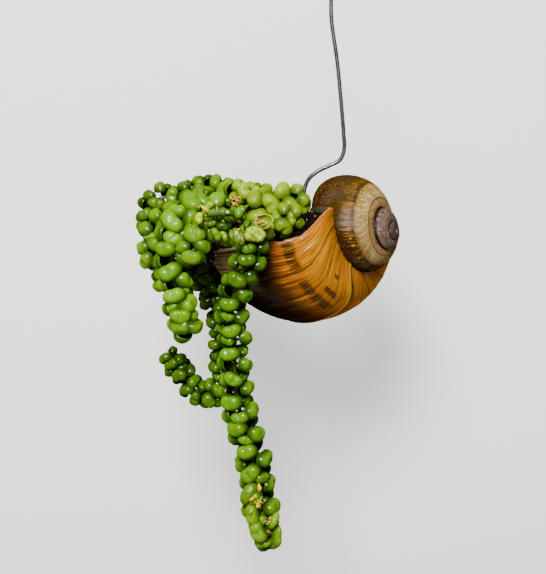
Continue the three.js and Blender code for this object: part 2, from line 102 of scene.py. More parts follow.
def tube_point(angle, x, y):
    """Points of the growing tube from turn angle and a place in its cross-section."""
    scale = scale_at(angle)
    return shell_point(angle, x * scale, y * scale)


def section_point(v, grow=0.0):
    across = (SECTION_HALF_WIDTH + grow) * np.cos(v)
    along = (SECTION_HALF_LENGTH + grow) * np.sin(v)
    cos, sin = math.cos(SECTION_TILT), math.sin(SECTION_TILT)
    return SECTION_RADIUS + across * cos - along * sin, SECTION_DROP + across * sin + along * cos


def section_polar(x, y, grow=0.0):
    x, y = x - SECTION_RADIUS, y - SECTION_DROP
    cos, sin = math.cos(SECTION_TILT), math.sin(SECTION_TILT)
    across = (x * cos + y * sin) / (SECTION_HALF_WIDTH + grow)
    along = (y * cos - x * sin) / (SECTION_HALF_LENGTH + grow)
    return np.arctan2(along, across), np.hypot(across, along)


def lip_angle(v):
    towards_base = np.maximum(0, np.sin(v))
    towards_suture = np.maximum(0, -np.sin(v))
    return math.radians(-3) - math.radians(4.75) * towards_base + math.radians(37.8) * towards_suture ** 5


def in_turn_before(x, y):
    return section_polar(x * GROWTH, y * GROWTH, CALLUS * GROWTH)[1] < 1


def hollow_span():
    """Where the hollow's outline leaves the turn before it and meets it again."""
    step = TURN / 720
    first = -math.pi / 2
    while in_turn_before(*section_point(first, -WALL)):
        first += step
    last = first
    while not in_turn_before(*section_point(last, -WALL)):
        last += step
    return first, last


FREE_FROM, FREE_TO = hollow_span()


def before_angle(v):
    x, y = section_point(v, -WALL)
    return float(section_polar(x * GROWTH, y * GROWTH, CALLUS * GROWTH)[0])


COVER_FROM = before_angle(FREE_TO)
COVER_TO = before_angle(FREE_FROM)
if COVER_TO > COVER_FROM:
    COVER_TO -= TURN


def hollow_point(v):
    """The hollow's outline, by the place round the section that it stands against."""
    free_x, free_y = section_point(v, -WALL)
    turned = FREE_FROM + np.mod(v - FREE_FROM, TURN)
    share = (turned - FREE_TO) / (TURN - (FREE_TO - FREE_FROM))
    covered_x, covered_y = section_point(COVER_FROM + (COVER_TO - COVER_FROM) * share, CALLUS * GROWTH)
    free = turned <= FREE_TO
    return np.where(free, free_x, covered_x / GROWTH), np.where(free, free_y, covered_y / GROWTH)


def inset_outline(x, y, distance):
    run_x = np.roll(x, -1) - np.roll(x, 1)
    run_y = np.roll(y, -1) - np.roll(y, 1)
    length = np.hypot(run_x, run_y)
    return x - run_y / length * distance, y + run_x / length * distance


# ---------------------------------------------------------------- meshes


class Build:
    """Vertices, faces and point attributes that become one mesh."""

    def __init__(self):
        self.points = []
        self.faces = []
        self.values = {}
        self.count = 0

    def add(self, points, faces, **values):
        points = np.asarray(points, float).reshape(-1, 3)
        self.points.append(points)
        self.faces.extend([tuple(int(i) + self.count for i in face) for face in faces])
        for name, value in values.items():
            value = np.asarray(value, float)
            if value.ndim == 0 or (value.ndim == 1 and value.size == 3 and len(points) != 3):
                value = np.broadcast_to(value, (len(points),) + value.shape)
            self.values.setdefault(name, []).append(value)
        self.count += len(points)

    def tube(self, path, radii, sides, **values):
        self.add(*tube(path, radii, sides), **values)

    def make(self, name):
        mesh = bpy.data.meshes.new(name)
        mesh.from_pydata((np.concatenate(self.points) * MM).tolist(), [], self.faces)
        for attribute, parts in self.values.items():
            value = np.concatenate(parts)
            if value.ndim == 1:
                layer = mesh.attributes.new(attribute, "FLOAT", "POINT")
                layer.data.foreach_set("value", value.astype(np.float32))
            else:
                layer = mesh.attributes.new(attribute, "FLOAT_COLOR", "POINT")
                colour = np.ones((len(value), 4), np.float32)
                colour[:, :3] = value
                layer.data.foreach_set("color", colour.ravel())
        mesh.validate()
        mesh.polygons.foreach_set("use_smooth", [True] * len(mesh.polygons))
        mesh.update()
        piece = bpy.data.objects.new(name, mesh)
        bpy.context.scene.collection.objects.link(piece)
        return piece


def closed_faces(rings, sides):
    """Faces over rings of points laid one after another, with a middle point for each end after them."""
    around = [(i, (i + 1) % sides) for i in range(sides)]
    faces = [(a + i, a + j, a + sides + j, a + sides + i)
             for a in range(0, (rings - 1) * sides, sides) for i, j in around]
    first, last = rings * sides, (rings - 1) * sides
    faces += [(j, i, first) for i, j in around]
    faces += [(first + 1, last + i, last + j) for i, j in around]
    return faces


def tube(path, radii, sides):
    """A round skin along a row of points with a closed end at each side."""
    path = np.asarray(path, float)
    radii = np.broadcast_to(np.asarray(radii, float), (len(path),))
    run = np.gradient(path, axis=0)
    run /= np.linalg.norm(run, axis=1)[:, None]
    normal = np.cross(run[0], [0.3, 0.5, 0.81])
    normal /= np.linalg.norm(normal)
    points = []
    turn = np.arange(sides) * TURN / sides
    for place, tangent, radius in zip(path, run, radii):
        normal = normal - tangent * normal.dot(tangent)
        normal /= np.linalg.norm(normal)
        side = np.cross(tangent, normal)
        points.append(place + radius * (np.cos(turn)[:, None] * normal + np.sin(turn)[:, None] * side))
    points.append(path[[0, -1]])
    return np.concatenate(points), closed_faces(len(path), sides)


def unit(vector):
    return vector / np.linalg.norm(vector)


def wobble(points, scale, seed):
    """Smooth noise from -1 to 1 at each point, of about the given feature size."""
    rng = np.random.default_rng(seed)
    total = np.zeros(len(points))
    for weight in (1.0, 0.7, 0.5, 0.35):
        direction = rng.normal(size=(3, 3))
        direction /= np.linalg.norm(direction, axis=1)[:, None]
        phase = rng.uniform(0, TURN, 3)
        waves = np.sin(points @ (direction.T * TURN / (scale * weight)) + phase)
        total += weight * waves.mean(axis=1)
    return total / 1.3


# ---------------------------------------------------------------- node materials


class Shade:
    """A node material with short ways to add its nodes."""

    def __init__(self, name):
        self.material = bpy.data.materials.new(name)
        self.material.use_nodes = True
        self.tree = self.material.node_tree
        self.surface = self.tree.nodes["Principled BSDF"]

    def put(self, socket, value):
        if isinstance(value, bpy.types.NodeSocket):
            self.tree.links.new(value, socket)
        elif hasattr(socket.default_value, "__len__") and len(socket.default_value) == 4:
            socket.default_value = (*value, 1.0)[:4]
        else:
            socket.default_value = value

    def math(self, operation, a, b=0.0):
        node = self.tree.nodes.new("ShaderNodeMath")
        node.operation = operation
        self.put(node.inputs[0], a)
        self.put(node.inputs[1], b)
        return node.outputs[0]

    def add(self, a, b):
        return self.math("ADD", a, b)

    def less(self, a, b):
        return self.math("SUBTRACT", a, b)

    def times(self, a, b):
        return self.math("MULTIPLY", a, b)

    def larger(self, a, b):
        return self.math("MAXIMUM", a, b)

    def attribute(self, name, colour=False):
        node = self.tree.nodes.new("ShaderNodeAttribute")
        node.attribute_name = name
        return node.outputs["Color" if colour else "Fac"]

    def object_place(self):
        return self.tree.nodes.new("ShaderNodeTexCoord").outputs["Object"]

    def vector(self, x, y, z=0.0):
        node = self.tree.nodes.new("ShaderNodeCombineXYZ")
        for socket, value in zip(node.inputs, (x, y, z)):
            self.put(socket, value)
        return node.outputs[0]

    def noise(self, vector, scale, detail=2.0, roughness=0.5):
        node = self.tree.nodes.new("ShaderNodeTexNoise")
        self.put(node.inputs["Vector"], vector)
        self.put(node.inputs["Scale"], scale)
        self.put(node.inputs["Detail"], detail)
        self.put(node.inputs["Roughness"], roughness)
        return node.outputs["Fac"]

    def remap(self, value, low, high, to_low=0.0, to_high=1.0, smooth=True):
        node = self.tree.nodes.new("ShaderNodeMapRange")
        node.interpolation_type = "SMOOTHSTEP" if smooth else "LINEAR"
        for socket, number in zip(node.inputs[:5], (value, low, high, to_low, to_high)):
            self.put(socket, number)
        return node.outputs[0]

    def line(self, value, centre, half, soft=0.5):
        """1 within half of the centre, falling to 0 over the share soft of half outside it."""
        away = self.math("ABSOLUTE", self.less(value, centre))
        return self.remap(away, half, self.times(half, 1 + soft), 1.0, 0.0)

    def lines(self, value, rows, soft=1.0):
        """The strongest of several lines, each with its centre, half width and strength."""
        strongest = 0.0
        for centre, half, strength in rows:
            strongest = self.larger(strongest, self.times(self.line(value, centre, half, soft), strength))
        return strongest

    def ramp(self, value, stops):
        node = self.tree.nodes.new("ShaderNodeValToRGB")
        elements = node.color_ramp.elements
        while len(elements) < len(stops):
            elements.new(0.5)
        for element, (place, colour) in zip(elements, stops):
            element.position = place
            element.color = (*colour, 1.0)
        self.put(node.inputs["Fac"], value)
        return node.outputs["Color"]

    def mix(self, factor, a, b, blend="MIX"):
        node = self.tree.nodes.new("ShaderNodeMix")
        node.data_type = "RGBA"
        node.blend_type = blend
        sockets = [s for s in node.inputs if s.enabled]
        self.put(sockets[0], factor)
        self.put(sockets[1], a)
        self.put(sockets[2], b)
        return next(s for s in node.outputs if s.enabled)

    def bump(self, height, strength, distance):
        node = self.tree.nodes.new("ShaderNodeBump")
        self.put(node.inputs["Strength"], strength)
        self.put(node.inputs["Distance"], distance)
        self.put(node.inputs["Height"], height)
        self.put(self.surface.inputs["Normal"], node.outputs["Normal"])

    def gloss(self, level):
        """A specular level that fades towards a form's rim, so that pale walls leave no grey edge on it."""
        node = self.tree.nodes.new("ShaderNodeLayerWeight")
        node.inputs["Blend"].default_value = 0.5
        return self.remap(node.outputs["Facing"], 0.12, 0.5, level, 0.0)

    def finish(self, **inputs):
        for name, value in inputs.items():
            self.put(self.surface.inputs[name.replace("_", " ")], value)
        return self.material


def srgb(red, green, blue):
    """A colour of 0 to 255 a channel as linear light."""
    def linear(value):
        value /= 255
        return value / 12.92 if value <= 0.04045 else ((value + 0.055) / 1.055) ** 2.4
    return linear(red), linear(green), linear(blue)


# ---------------------------------------------------------------- stems as curves


class Curve:
    """A centripetal Catmull-Rom curve with its lengths and turning frames."""

    def __init__(self, points):
        self.points = np.asarray(points, float)
        self.lengths = self.running_lengths()
        self.length = self.lengths[-1]
        self.made_frames = None

    def point(self, t):
        points = self.points
        count = len(points)
        place = (count - 1) * t
        i = int(math.floor(place))
        weight = place - i
        if weight == 0 and i == count - 1:
            i, weight = count - 2, 1.0
        before = points[i - 1] if i > 0 else 2 * points[0] - points[1]
        after = points[i + 2] if i + 2 < count else 2 * points[-1] - points[-2]
        p0, p1, p2, p3 = before, points[i], points[i + 1], after
        d0, d1, d2 = (((b - a) @ (b - a)) ** 0.25 for a, b in ((p0, p1), (p1, p2), (p2, p3)))
        d1 = d1 if d1 >= 1e-4 else 1.0
        d0 = d0 if d0 >= 1e-4 else d1
        d2 = d2 if d2 >= 1e-4 else d1
        t1 = ((p1 - p0) / d0 - (p2 - p0) / (d0 + d1) + (p2 - p1) / d1) * d1
        t2 = ((p2 - p1) / d1 - (p3 - p1) / (d1 + d2) + (p3 - p2) / d2) * d1
        return (p1 + t1 * weight + (-3 * p1 + 3 * p2 - 2 * t1 - t2) * weight ** 2
                + (2 * p1 - 2 * p2 + t1 + t2) * weight ** 3)

    def running_lengths(self, divisions=200):
        row = [self.point(i / divisions) for i in range(divisions + 1)]
        steps = [0.0] + [float(np.linalg.norm(b - a)) for a, b in zip(row, row[1:])]
        return np.cumsum(steps)

    def t_at(self, u):
        target = u * self.length
        i = int(np.searchsorted(self.lengths, target, side="right")) - 1
        i = min(max(i, 0), len(self.lengths) - 2)
        span = self.lengths[i + 1] - self.lengths[i]
        return min(1.0, (i + (target - self.lengths[i]) / span) / (len(self.lengths) - 1))

    def point_at(self, u):
        return self.point(self.t_at(u))

    def tangent_at(self, u):
        t = self.t_at(u)
        run = self.point(min(1.0, t + 1e-4)) - self.point(max(0.0, t - 1e-4))
        return run / np.linalg.norm(run)

    def frames(self, steps=200):
        """Tangent, normal and binormal at equal steps, turned as little as the bends allow."""
        if self.made_frames:
            return self.made_frames
        tangents = [self.tangent_at(i / steps) for i in range(steps + 1)]
        smallest = min(range(3), key=lambda k: (abs(tangents[0][k]), -k))
        pick = np.zeros(3)
        pick[smallest] = 1.0
        side = np.cross(tangents[0], pick)
        side /= np.linalg.norm(side)
        normals = [np.cross(tangents[0], side)]
        for a, b in zip(tangents, tangents[1:]):
            normal = normals[-1]
            axis = np.cross(a, b)
            size = np.linalg.norm(axis)
            if size > 2.3e-16:
                axis /= size
                angle = math.acos(max(-1.0, min(1.0, float(a @ b))))
                normal = (normal * math.cos(angle) + np.cross(axis, normal) * math.sin(angle)
                          + axis * (axis @ normal) * (1 - math.cos(angle)))
            normals.append(normal)
        binormals = [np.cross(t, n) for t, n in zip(tangents, normals)]
        self.made_frames = tangents, normals, binormals
        return self.made_frames

    def frame_at(self, u, steps=200):
        tangents, normals, binormals = self.frames(steps)
        i = int(math.floor(u * steps + 0.5))
        return self.point_at(u), tangents[i], normals[i], binormals[i]


# ---------------------------------------------------------------- the shell

SIDES_ROUND = 120
EARLY_STEPS = 200
LATE_STEPS = 228
LIP_STEPS = 20
INNER_STEPS = 34
INNER_END = math.radians(-62)
LIP_BULGE = 0.45


def ridge(growth, centre, half):
    return np.exp(-((growth - math.radians(centre)) / math.radians(half)) ** 2)


def shell_relief(growth, v, angle):
    """Height of the growth ridges, the varix and the pits of the worn spire, in millimetres."""
    height = 0.10 * np.sin(growth * 57) * (0.5 + 0.5 * np.sin(growth * 13 + 1.7 * np.sin(v * 2)))
    height += 0.06 * np.sin(growth * 96 + 1.2 * np.sin(v * 3))
    for centre, half, size in ((-21, 1.6, -0.32), (-24.5, 1.8, 0.14), (-38, 1.4, -0.24), (-41, 1.8, 0.16),
                               (-9, 1.3, -0.12), (-56, 1.6, -0.14), (-72.5, 3.2, 0.6), (-77.6, 1.3, -0.35),
                               (-104, 2.5, -0.2), (-131, 2.5, 0.2), (-168, 3.0, -0.2), (-214, 3.0, 0.2)):
        height += size * ridge(growth, centre, half)
    size = np.clip(scale_at(angle) / SHELL_SCALE, 0, 1)
    return height * size


def shell_piece():
    build = Build()
    v = SEAM + TURN * np.arange(SIDES_ROUND) / SIDES_ROUND
    ragged = math.radians(0.55) * np.sin(v * 17 + 0.6) * np.sin(v * 5 + 1.1)
    ragged += math.radians(0.35) * np.sin(v * 41)
    ragged *= np.clip(1 - 2 * np.maximum(0, -np.sin(v)) ** 5, 0.15, 1)
    lip = lip_angle(v) + ragged
    early = np.linspace(-TURNS * TURN, -TURN, EARLY_STEPS, endpoint=False)
    late = np.linspace(-TURN, -STEP_ANGLE, LATE_STEPS)
    plain = np.concatenate([early, late])
    angle = np.repeat(plain[:, None], SIDES_ROUND, axis=1)
    fan = -STEP_ANGLE + (lip + STEP_ANGLE) * (np.arange(1, LIP_STEPS + 1) / LIP_STEPS)[:, None]
    angle = np.concatenate([angle, fan])
    round_v = np.broadcast_to(v, angle.shape)
    growth = angle - lip_angle(v)
    relief = shell_relief(growth, round_v, angle)
    scale = scale_at(angle)
    outer = tube_point(angle, *section_point(round_v, relief / scale))
    rings = len(angle)

    # Inside of the mouth: the hollow's wall, from the lip inwards.
    hollow_x, hollow_y = hollow_point(v)
    hollow_v, _ = section_polar(hollow_x, hollow_y)
    inner_lip = lip_angle(hollow_v) + ragged
    share = (np.arange(INNER_STEPS) / (INNER_STEPS - 1))[:, None]
    inner_angle = inner_lip + (INNER_END - inner_lip) * share ** 1.4
    inner = tube_point(inner_angle, hollow_x, hollow_y)

    # The rounded edge of the lip between the two.
    ahead = tube_point(lip + 0.01, *section_point(v)) - outer[-1]
    ahead /= np.linalg.norm(ahead, axis=1)[:, None]
    edge = [outer[-1] * (1 - k) + inner[0] * k + ahead * LIP_BULGE * math.sin(math.pi * k)
            for k in (0.2, 0.5, 0.8)]
    ends = [outer[0].mean(axis=0)[None], inner[-1].mean(axis=0)[None]]
    points = np.concatenate([outer.reshape(-1, 3), *edge, inner.reshape(-1, 3), *ends])
    inside = np.concatenate([np.zeros(rings * SIDES_ROUND), np.full(SIDES_ROUND, 0.3),
                             np.full(SIDES_ROUND, 0.5), np.full(SIDES_ROUND, 0.7),
                             np.full(INNER_STEPS * SIDES_ROUND, 1.0), [0.0, 1.0]])
    spin = np.concatenate([growth.ravel(), *[growth[-1]] * 3, (inner_angle - inner_lip).ravel(),
                           [growth[0, 0], -1.0]])
    around = np.concatenate([round_v.ravel(), *[v] * 3, np.tile(v, INNER_STEPS), [0.0, 0.0]])
    total = rings + 3 + INNER_STEPS
    faces = [face[::-1] for face in closed_faces(total, SIDES_ROUND)]
    build.add(points, faces, growth=np.degrees(spin), round=np.degrees(around), inside=inside)

    add_pillar(build)
    add_first_whorl(build)
    return build.make("shell_fine")


def add_pillar(build):
    """The central pillar, which closes the narrow hole of the coil."""
    profile = []
    for (r0, d0), (r1, d1) in zip(PILLAR, PILLAR[1:]):
        for k in range(8):
            profile.append((r0 + (r1 - r0) * k / 8, d0 + (d1 - d0) * k / 8))
    profile.append(PILLAR[-1])
    turn = TURN * np.arange(PILLAR_SIDES) / PILLAR_SIDES
    pillar = []
    for radius, depth in profile:
        radius = max(radius, 0.01)
        pillar.append(APEX - depth * TO_APEX + radius * (
            np.cos(turn)[:, None] * TO_FRONT + np.sin(turn)[:, None] * TO_UP))
    pillar += [pillar[0].mean(axis=0)[None], pillar[-1].mean(axis=0)[None]]
    faces = closed_faces(len(profile), PILLAR_SIDES)
    build.add(np.concatenate(pillar), faces, growth=-500.0, round=150.0, inside=0.0)


def add_first_whorl(build):
    """The knob that closes the spire."""
    start = np.array([-TURNS * TURN])
    centre = tube_point(start, SECTION_RADIUS, SECTION_DROP)[0]
    axis = tube_point(start, 0, SECTION_DROP)[0]
    place = (centre + axis) / 2 - NUCLEUS_SUNK * TO_APEX
    ball, ball_faces = icosphere(3)
    rough = 1 + 0.05 * wobble(ball, 0.9, 5)
    build.add(place + ball * NUCLEUS_RADIUS * rough[:, None], ball_faces,
              growth=-1230.0, round=-30.0, inside=0.0)


def icosphere(subdivisions):
    mesh = bmesh.new()
    bmesh.ops.create_icosphere(mesh, subdivisions=subdivisions, radius=1.0)
    points = np.array([vertex.co[:] for vertex in mesh.verts])
    faces = [tuple(vertex.index for vertex in face.verts) for face in mesh.faces]
    mesh.free()
    return points, faces


def shell_material():
    shade = Shade("shell_glaze")
    growth = shade.attribute("growth")
    around = shade.attribute("round")
    inside = shade.attribute("inside")
    place = shade.object_place()
    # Growth lines run round the tube, so the noise is drawn out across the turn angle.
    wander = shade.noise(place, 170.0, 3.0, 0.6)
    drift = shade.times(shade.less(wander, 0.5), 2.2)
    line_place = shade.add(growth, drift)

    def streaks(across, along, seed, detail, roughness):
        place = shade.vector(shade.times(line_place, across), shade.times(around, along), seed)
        return shade.noise(place, 1.0, detail, roughness)

    fine = streaks(1.5, 0.03, 0.0, 3.0, 0.7)
    broad = streaks(0.17, 0.02, 7.0, 2.0, 0.5)
    coarse = streaks(0.42, 0.035, 5.0, 3.0, 0.7)
    dashes = streaks(0.55, 0.22, 11.0, 3.0, 0.65)
    cloud = shade.noise(place, 90.0, 3.0, 0.6)
    speck = shade.noise(place, 900.0, 2.0, 0.6)
    dash = shade.noise(shade.vector(shade.times(growth, 0.28), 0.0, 3.0), 1.0, 0.0)

    bent = shade.add(around, shade.times(shade.less(cloud, 0.5), 8.0))
    level = shade.remap(bent, -150.0, 210.0, smooth=False)

    def stops(rows):
        return [((degrees + 150) / 360, srgb(*colour)) for degrees, colour in rows]

    # Colours of the last turn round its section. Towards the base side they darken, partly the base's own
    # darker colour and partly painted shade on the underside, which faces down.
    young = shade.ramp(level, stops([
        (-150, (60, 30, 2)), (-92, (74, 38, 2)), (-72, (138, 82, 2)), (-50, (170, 108, 0)),
        (-32, (162, 95, 0)), (-18, (132, 66, 0)), (-5, (62, 30, 0)), (8, (28, 16, 2)),
        (20, (16, 11, 5)), (60, (15, 11, 6)), (120, (12, 9, 5)),
    ]))
    # On the turn before, the stops past the dark spiral band darken towards the suture with the last turn, as
    # painted shade cast by the last turn.
    old = shade.ramp(level, stops([
        (-150, (50, 22, 4)), (-92, (90, 48, 16)), (-80, (146, 104, 62)), (-66, (156, 124, 80)),
        (-62, (140, 112, 66)), (-61, (66, 44, 22)), (-59.5, (66, 44, 22)), (-58, (164, 142, 92)),
        (-48, (172, 152, 100)), (-38, (166, 144, 88)), (-29, (138, 104, 44)), (-27, (36, 21, 10)),
        (-21, (36, 21, 10)), (-19, (88, 60, 10)), (-10, (66, 45, 8)), (-3, (46, 32, 8)),
        (5, (26, 18, 6)), (40, (12, 9, 4)),
    ]))
    age = shade.remap(growth, -190.0, -120.0, 1.0, 0.0)
    spiral = shade.lines(bent, ((-33.5, 0.5, 0.4), (-40.0, 0.8, 0.6), (-45.5, 0.4, 0.35), (-53.0, 0.6, 0.45)))
    old = shade.mix(shade.times(spiral, shade.remap(fine, 0.3, 0.6)), old, srgb(96, 68, 36))
    old = shade.mix(shade.remap(coarse, 0.47, 0.6, 0.0, 0.62), old, srgb(72, 52, 18))
    old = shade.mix(shade.times(shade.remap(coarse, 0.3, 0.4, 0.4, 0.0),
                                shade.remap(around, -34.0, -26.0, 1.0, 0.0)), old, srgb(206, 184, 138))
    # Painted shade: the lower part of the turn before, which faces down, is darkened.
    painted_lower_shade = shade.times(shade.remap(growth, -385.0, -310.0, 1.0, 0.0),
                        shade.remap(around, -40.0, -18.0, 0.3, 0.96))
    old = shade.mix(painted_lower_shade, old, srgb(14, 8, 1))
    # Brown dashes along the growth lines of the cream part, and pale flecks kept to its upper part. The
    # flecks are the shell's own, and keeping them to the side that faces the light is painted light.
    old = shade.mix(shade.remap(dashes, 0.5, 0.66, 0.0, 0.75), old, srgb(84, 52, 18))
    old = shade.mix(shade.times(shade.remap(dashes, 0.3, 0.42, 0.5, 0.0),
                                shade.remap(growth, -340.0, -300.0)), old, srgb(190, 150, 70))
    dots = shade.times(shade.line(bent, -17.5, 1.5, 0.6), shade.remap(dash, 0.56, 0.62))
    dots = shade.times(dots, shade.remap(growth, -345.0, -338.0, 1.0, 0.0))
    old = shade.mix(shade.times(dots, 0.8), old, srgb(150, 112, 6))
    colour = shade.mix(age, young, old)

    # Dark spiral bands, broken where growth stopped.
    main = shade.line(bent, -24.5, shade.remap(growth, -200.0, -60.0, 1.6, 3.0), 1.2)
    gap = shade.line(growth, -23.4, 3.6, 0.3)
    faded = shade.times(shade.remap(growth, -66.0, -57.0, 1.0, 0.0),
                        shade.remap(growth, -210.0, -190.0, 0.0, 1.0))
    band = shade.times(main, shade.less(1.0, shade.larger(gap, faded)))
    second = shade.times(shade.line(bent, -38.0, 2.0, 0.6), shade.line(growth, -50.5, 6.5, 0.4))
    third = shade.times(shade.line(bent, -54.0, 1.6, 0.6), shade.line(growth, -51.0, 2.5, 0.4))
    band = shade.larger(band, shade.larger(second, third))
    worn = shade.remap(fine, 0.3, 0.7, 0.78, 0.96)
    colour = shade.mix(shade.times(band, worn), colour, srgb(30, 19, 7))

    # Streaks along the growth lines.
    colour = shade.mix(shade.remap(fine, 0.5, 0.63, 0.0, 0.82), colour, srgb(42, 21, 0))
    colour = shade.mix(shade.remap(broad, 0.5, 0.74, 0.0, 0.45), colour, srgb(84, 42, 2))
    colour = shade.mix(shade.times(shade.remap(fine, 0.3, 0.45, 0.6, 0.0),
                                   shade.remap(around, -20.0, 5.0, 1.0, 0.0)), colour, srgb(222, 166, 34))
    # Dark growth-stop marks. The wide one at -77.4, just behind the varix, is painted shadow on the far side
    # of its ridge.
    marks_and_varix_shadow = shade.lines(line_place, (
        (-21.0, 0.45, 0.75), (-38.0, 0.4, 0.65), (-9.5, 0.25, 0.4), (-56.0, 0.4, 0.5), (-30.0, 0.25, 0.4),
        (-47.0, 0.3, 0.4), (-23.2, 0.2, 0.5), (-5.6, 0.2, 0.4), (-13.4, 0.2, 0.35), (-77.4, 1.0, 0.75),
        (-104.0, 0.8, 0.6), (-131.0, 0.9, 0.5)), 1.2)
    colour = shade.mix(marks_and_varix_shadow, colour, srgb(26, 12, 5))
    # Painted highlight: a pale line along the edge of the varix ridge.
    varix_painted_highlight = shade.times(shade.line(line_place, -73.2, 1.2, 1.0), 0.5)
    colour = shade.mix(varix_painted_highlight, colour, srgb(196, 142, 30))

    # The greyish base beside the mouth, painted lighter as painted light where the leaves above shade it,
    # with painted glints.
    painted_light_on_base = shade.times(shade.remap(growth, -34.0, -20.0), shade.remap(around, 8.0, 17.0))
    painted_light_on_base = shade.times(painted_light_on_base, shade.remap(growth, -2.6, -1.4, 1.0, 0.0))
    base_tone_and_glints = shade.mix(shade.remap(fine, 0.36, 0.62), srgb(34, 27, 14), srgb(112, 94, 58))
    # Painted glints: pale flecks over the base.
    base_tone_and_glints = shade.mix(shade.times(shade.remap(speck, 0.56, 0.68), shade.remap(cloud, 0.5, 0.62)),
                          base_tone_and_glints, srgb(214, 192, 140))
    colour = shade.mix(shade.times(painted_light_on_base, 0.92), colour, base_tone_and_glints)

    # Mottling of the turn before and its dark upper part.
    old_mottle = shade.times(age, shade.remap(cloud, 0.48, 0.62, 0.0, 0.85))
    dark_zone = shade.times(old_mottle, shade.remap(around, -30.0, -6.0, 0.25, 1.0))
    colour = shade.mix(dark_zone, colour, srgb(48, 35, 14))

    # The dark, pitted spire with its worn tip, and painted shade in the deep suture beside it.
    spire = shade.remap(growth, -640.0, -520.0, 1.0, 0.0)
    pit = shade.remap(speck, 0.62, 0.7)
    spire_colour = shade.mix(shade.remap(fine, 0.4, 0.7), srgb(40, 28, 22), srgb(136, 110, 90))
    spire_colour = shade.mix(shade.times(pit, 0.6), spire_colour, srgb(176, 160, 140))
    hole = shade.remap(speck, 0.3, 0.38, 1.0, 0.0)
    spire_colour = shade.mix(shade.times(hole, 0.85), spire_colour, srgb(8, 4, 4))
    tip = shade.remap(growth, -1000.0, -820.0, 1.0, 0.0)
    spire_colour = shade.mix(shade.times(tip, 0.6), spire_colour, srgb(22, 16, 24))
    # Painted shade: the deep suture beside the spire is darkened.
    groove = shade.remap(around, -13.0, -3.0)
    spire_colour = shade.mix(shade.times(groove, 0.95), spire_colour, srgb(10, 5, 3))
    colour = shade.mix(spire, colour, spire_colour)

    # The edge of the lip is pale and the inside is grey green.
    rim = shade.ramp(inside, [(0.0, srgb(110, 48, 12)), (0.45, srgb(150, 96, 50)),
                              (0.8, srgb(66, 56, 32)), (1.0, srgb(40, 38, 24))])
    base_rim = shade.ramp(inside, [(0.0, srgb(170, 148, 104)), (0.3, srgb(170, 148, 104)),
                                   (0.5, srgb(34, 26, 15)), (1.0, srgb(20, 15, 9))])
    rim = shade.mix(shade.remap(around, -6.0, 10.0), rim, base_rim)
    near_edge = shade.larger(shade.remap(inside, 0.05, 0.3),
                             shade.times(shade.remap(growth, -1.6, -0.2), 0.75))
    colour = shade.mix(near_edge, colour, rim)

    height = shade.add(shade.times(fine, 0.7), shade.times(broad, 0.5))
    height = shade.less(height, shade.times(marks_and_varix_shadow, 0.5))
    height = shade.less(height, shade.times(shade.times(spire, pit), 0.8))
    shade.bump(height, 0.35, 0.0006)
    return shade.finish(Base_Color=colour, Roughness=shade.remap(speck, 0.3, 0.7, 0.13, 0.2),
                        Specular_IOR_Level=shade.gloss(0.13))


# ---------------------------------------------------------------- the potting mix


def soil_surface(v, share):
    """A point of the mix's top: share 0 is its middle and 1 its edge along the shell's wall."""
    x, y = hollow_point(v)
    size = scale_at(-STEP_ANGLE)
    x, y = inset_outline(x, y, SOIL_CLEARANCE / size)
    own, _ = section_polar(x, y)
    angle = lip_angle(own) - SOIL_BELOW_LIP
    edge = tube_point(angle, x, y)
    middle = tube_point(np.array([lip_angle(0.0) - SOIL_BELOW_LIP]), SECTION_RADIUS, SECTION_DROP)[0]
    return middle + (edge - middle) * share[:, None, None]


SOIL_SIDES = 120
SOIL_RINGS = 30
SOIL_DEPTHS = 12


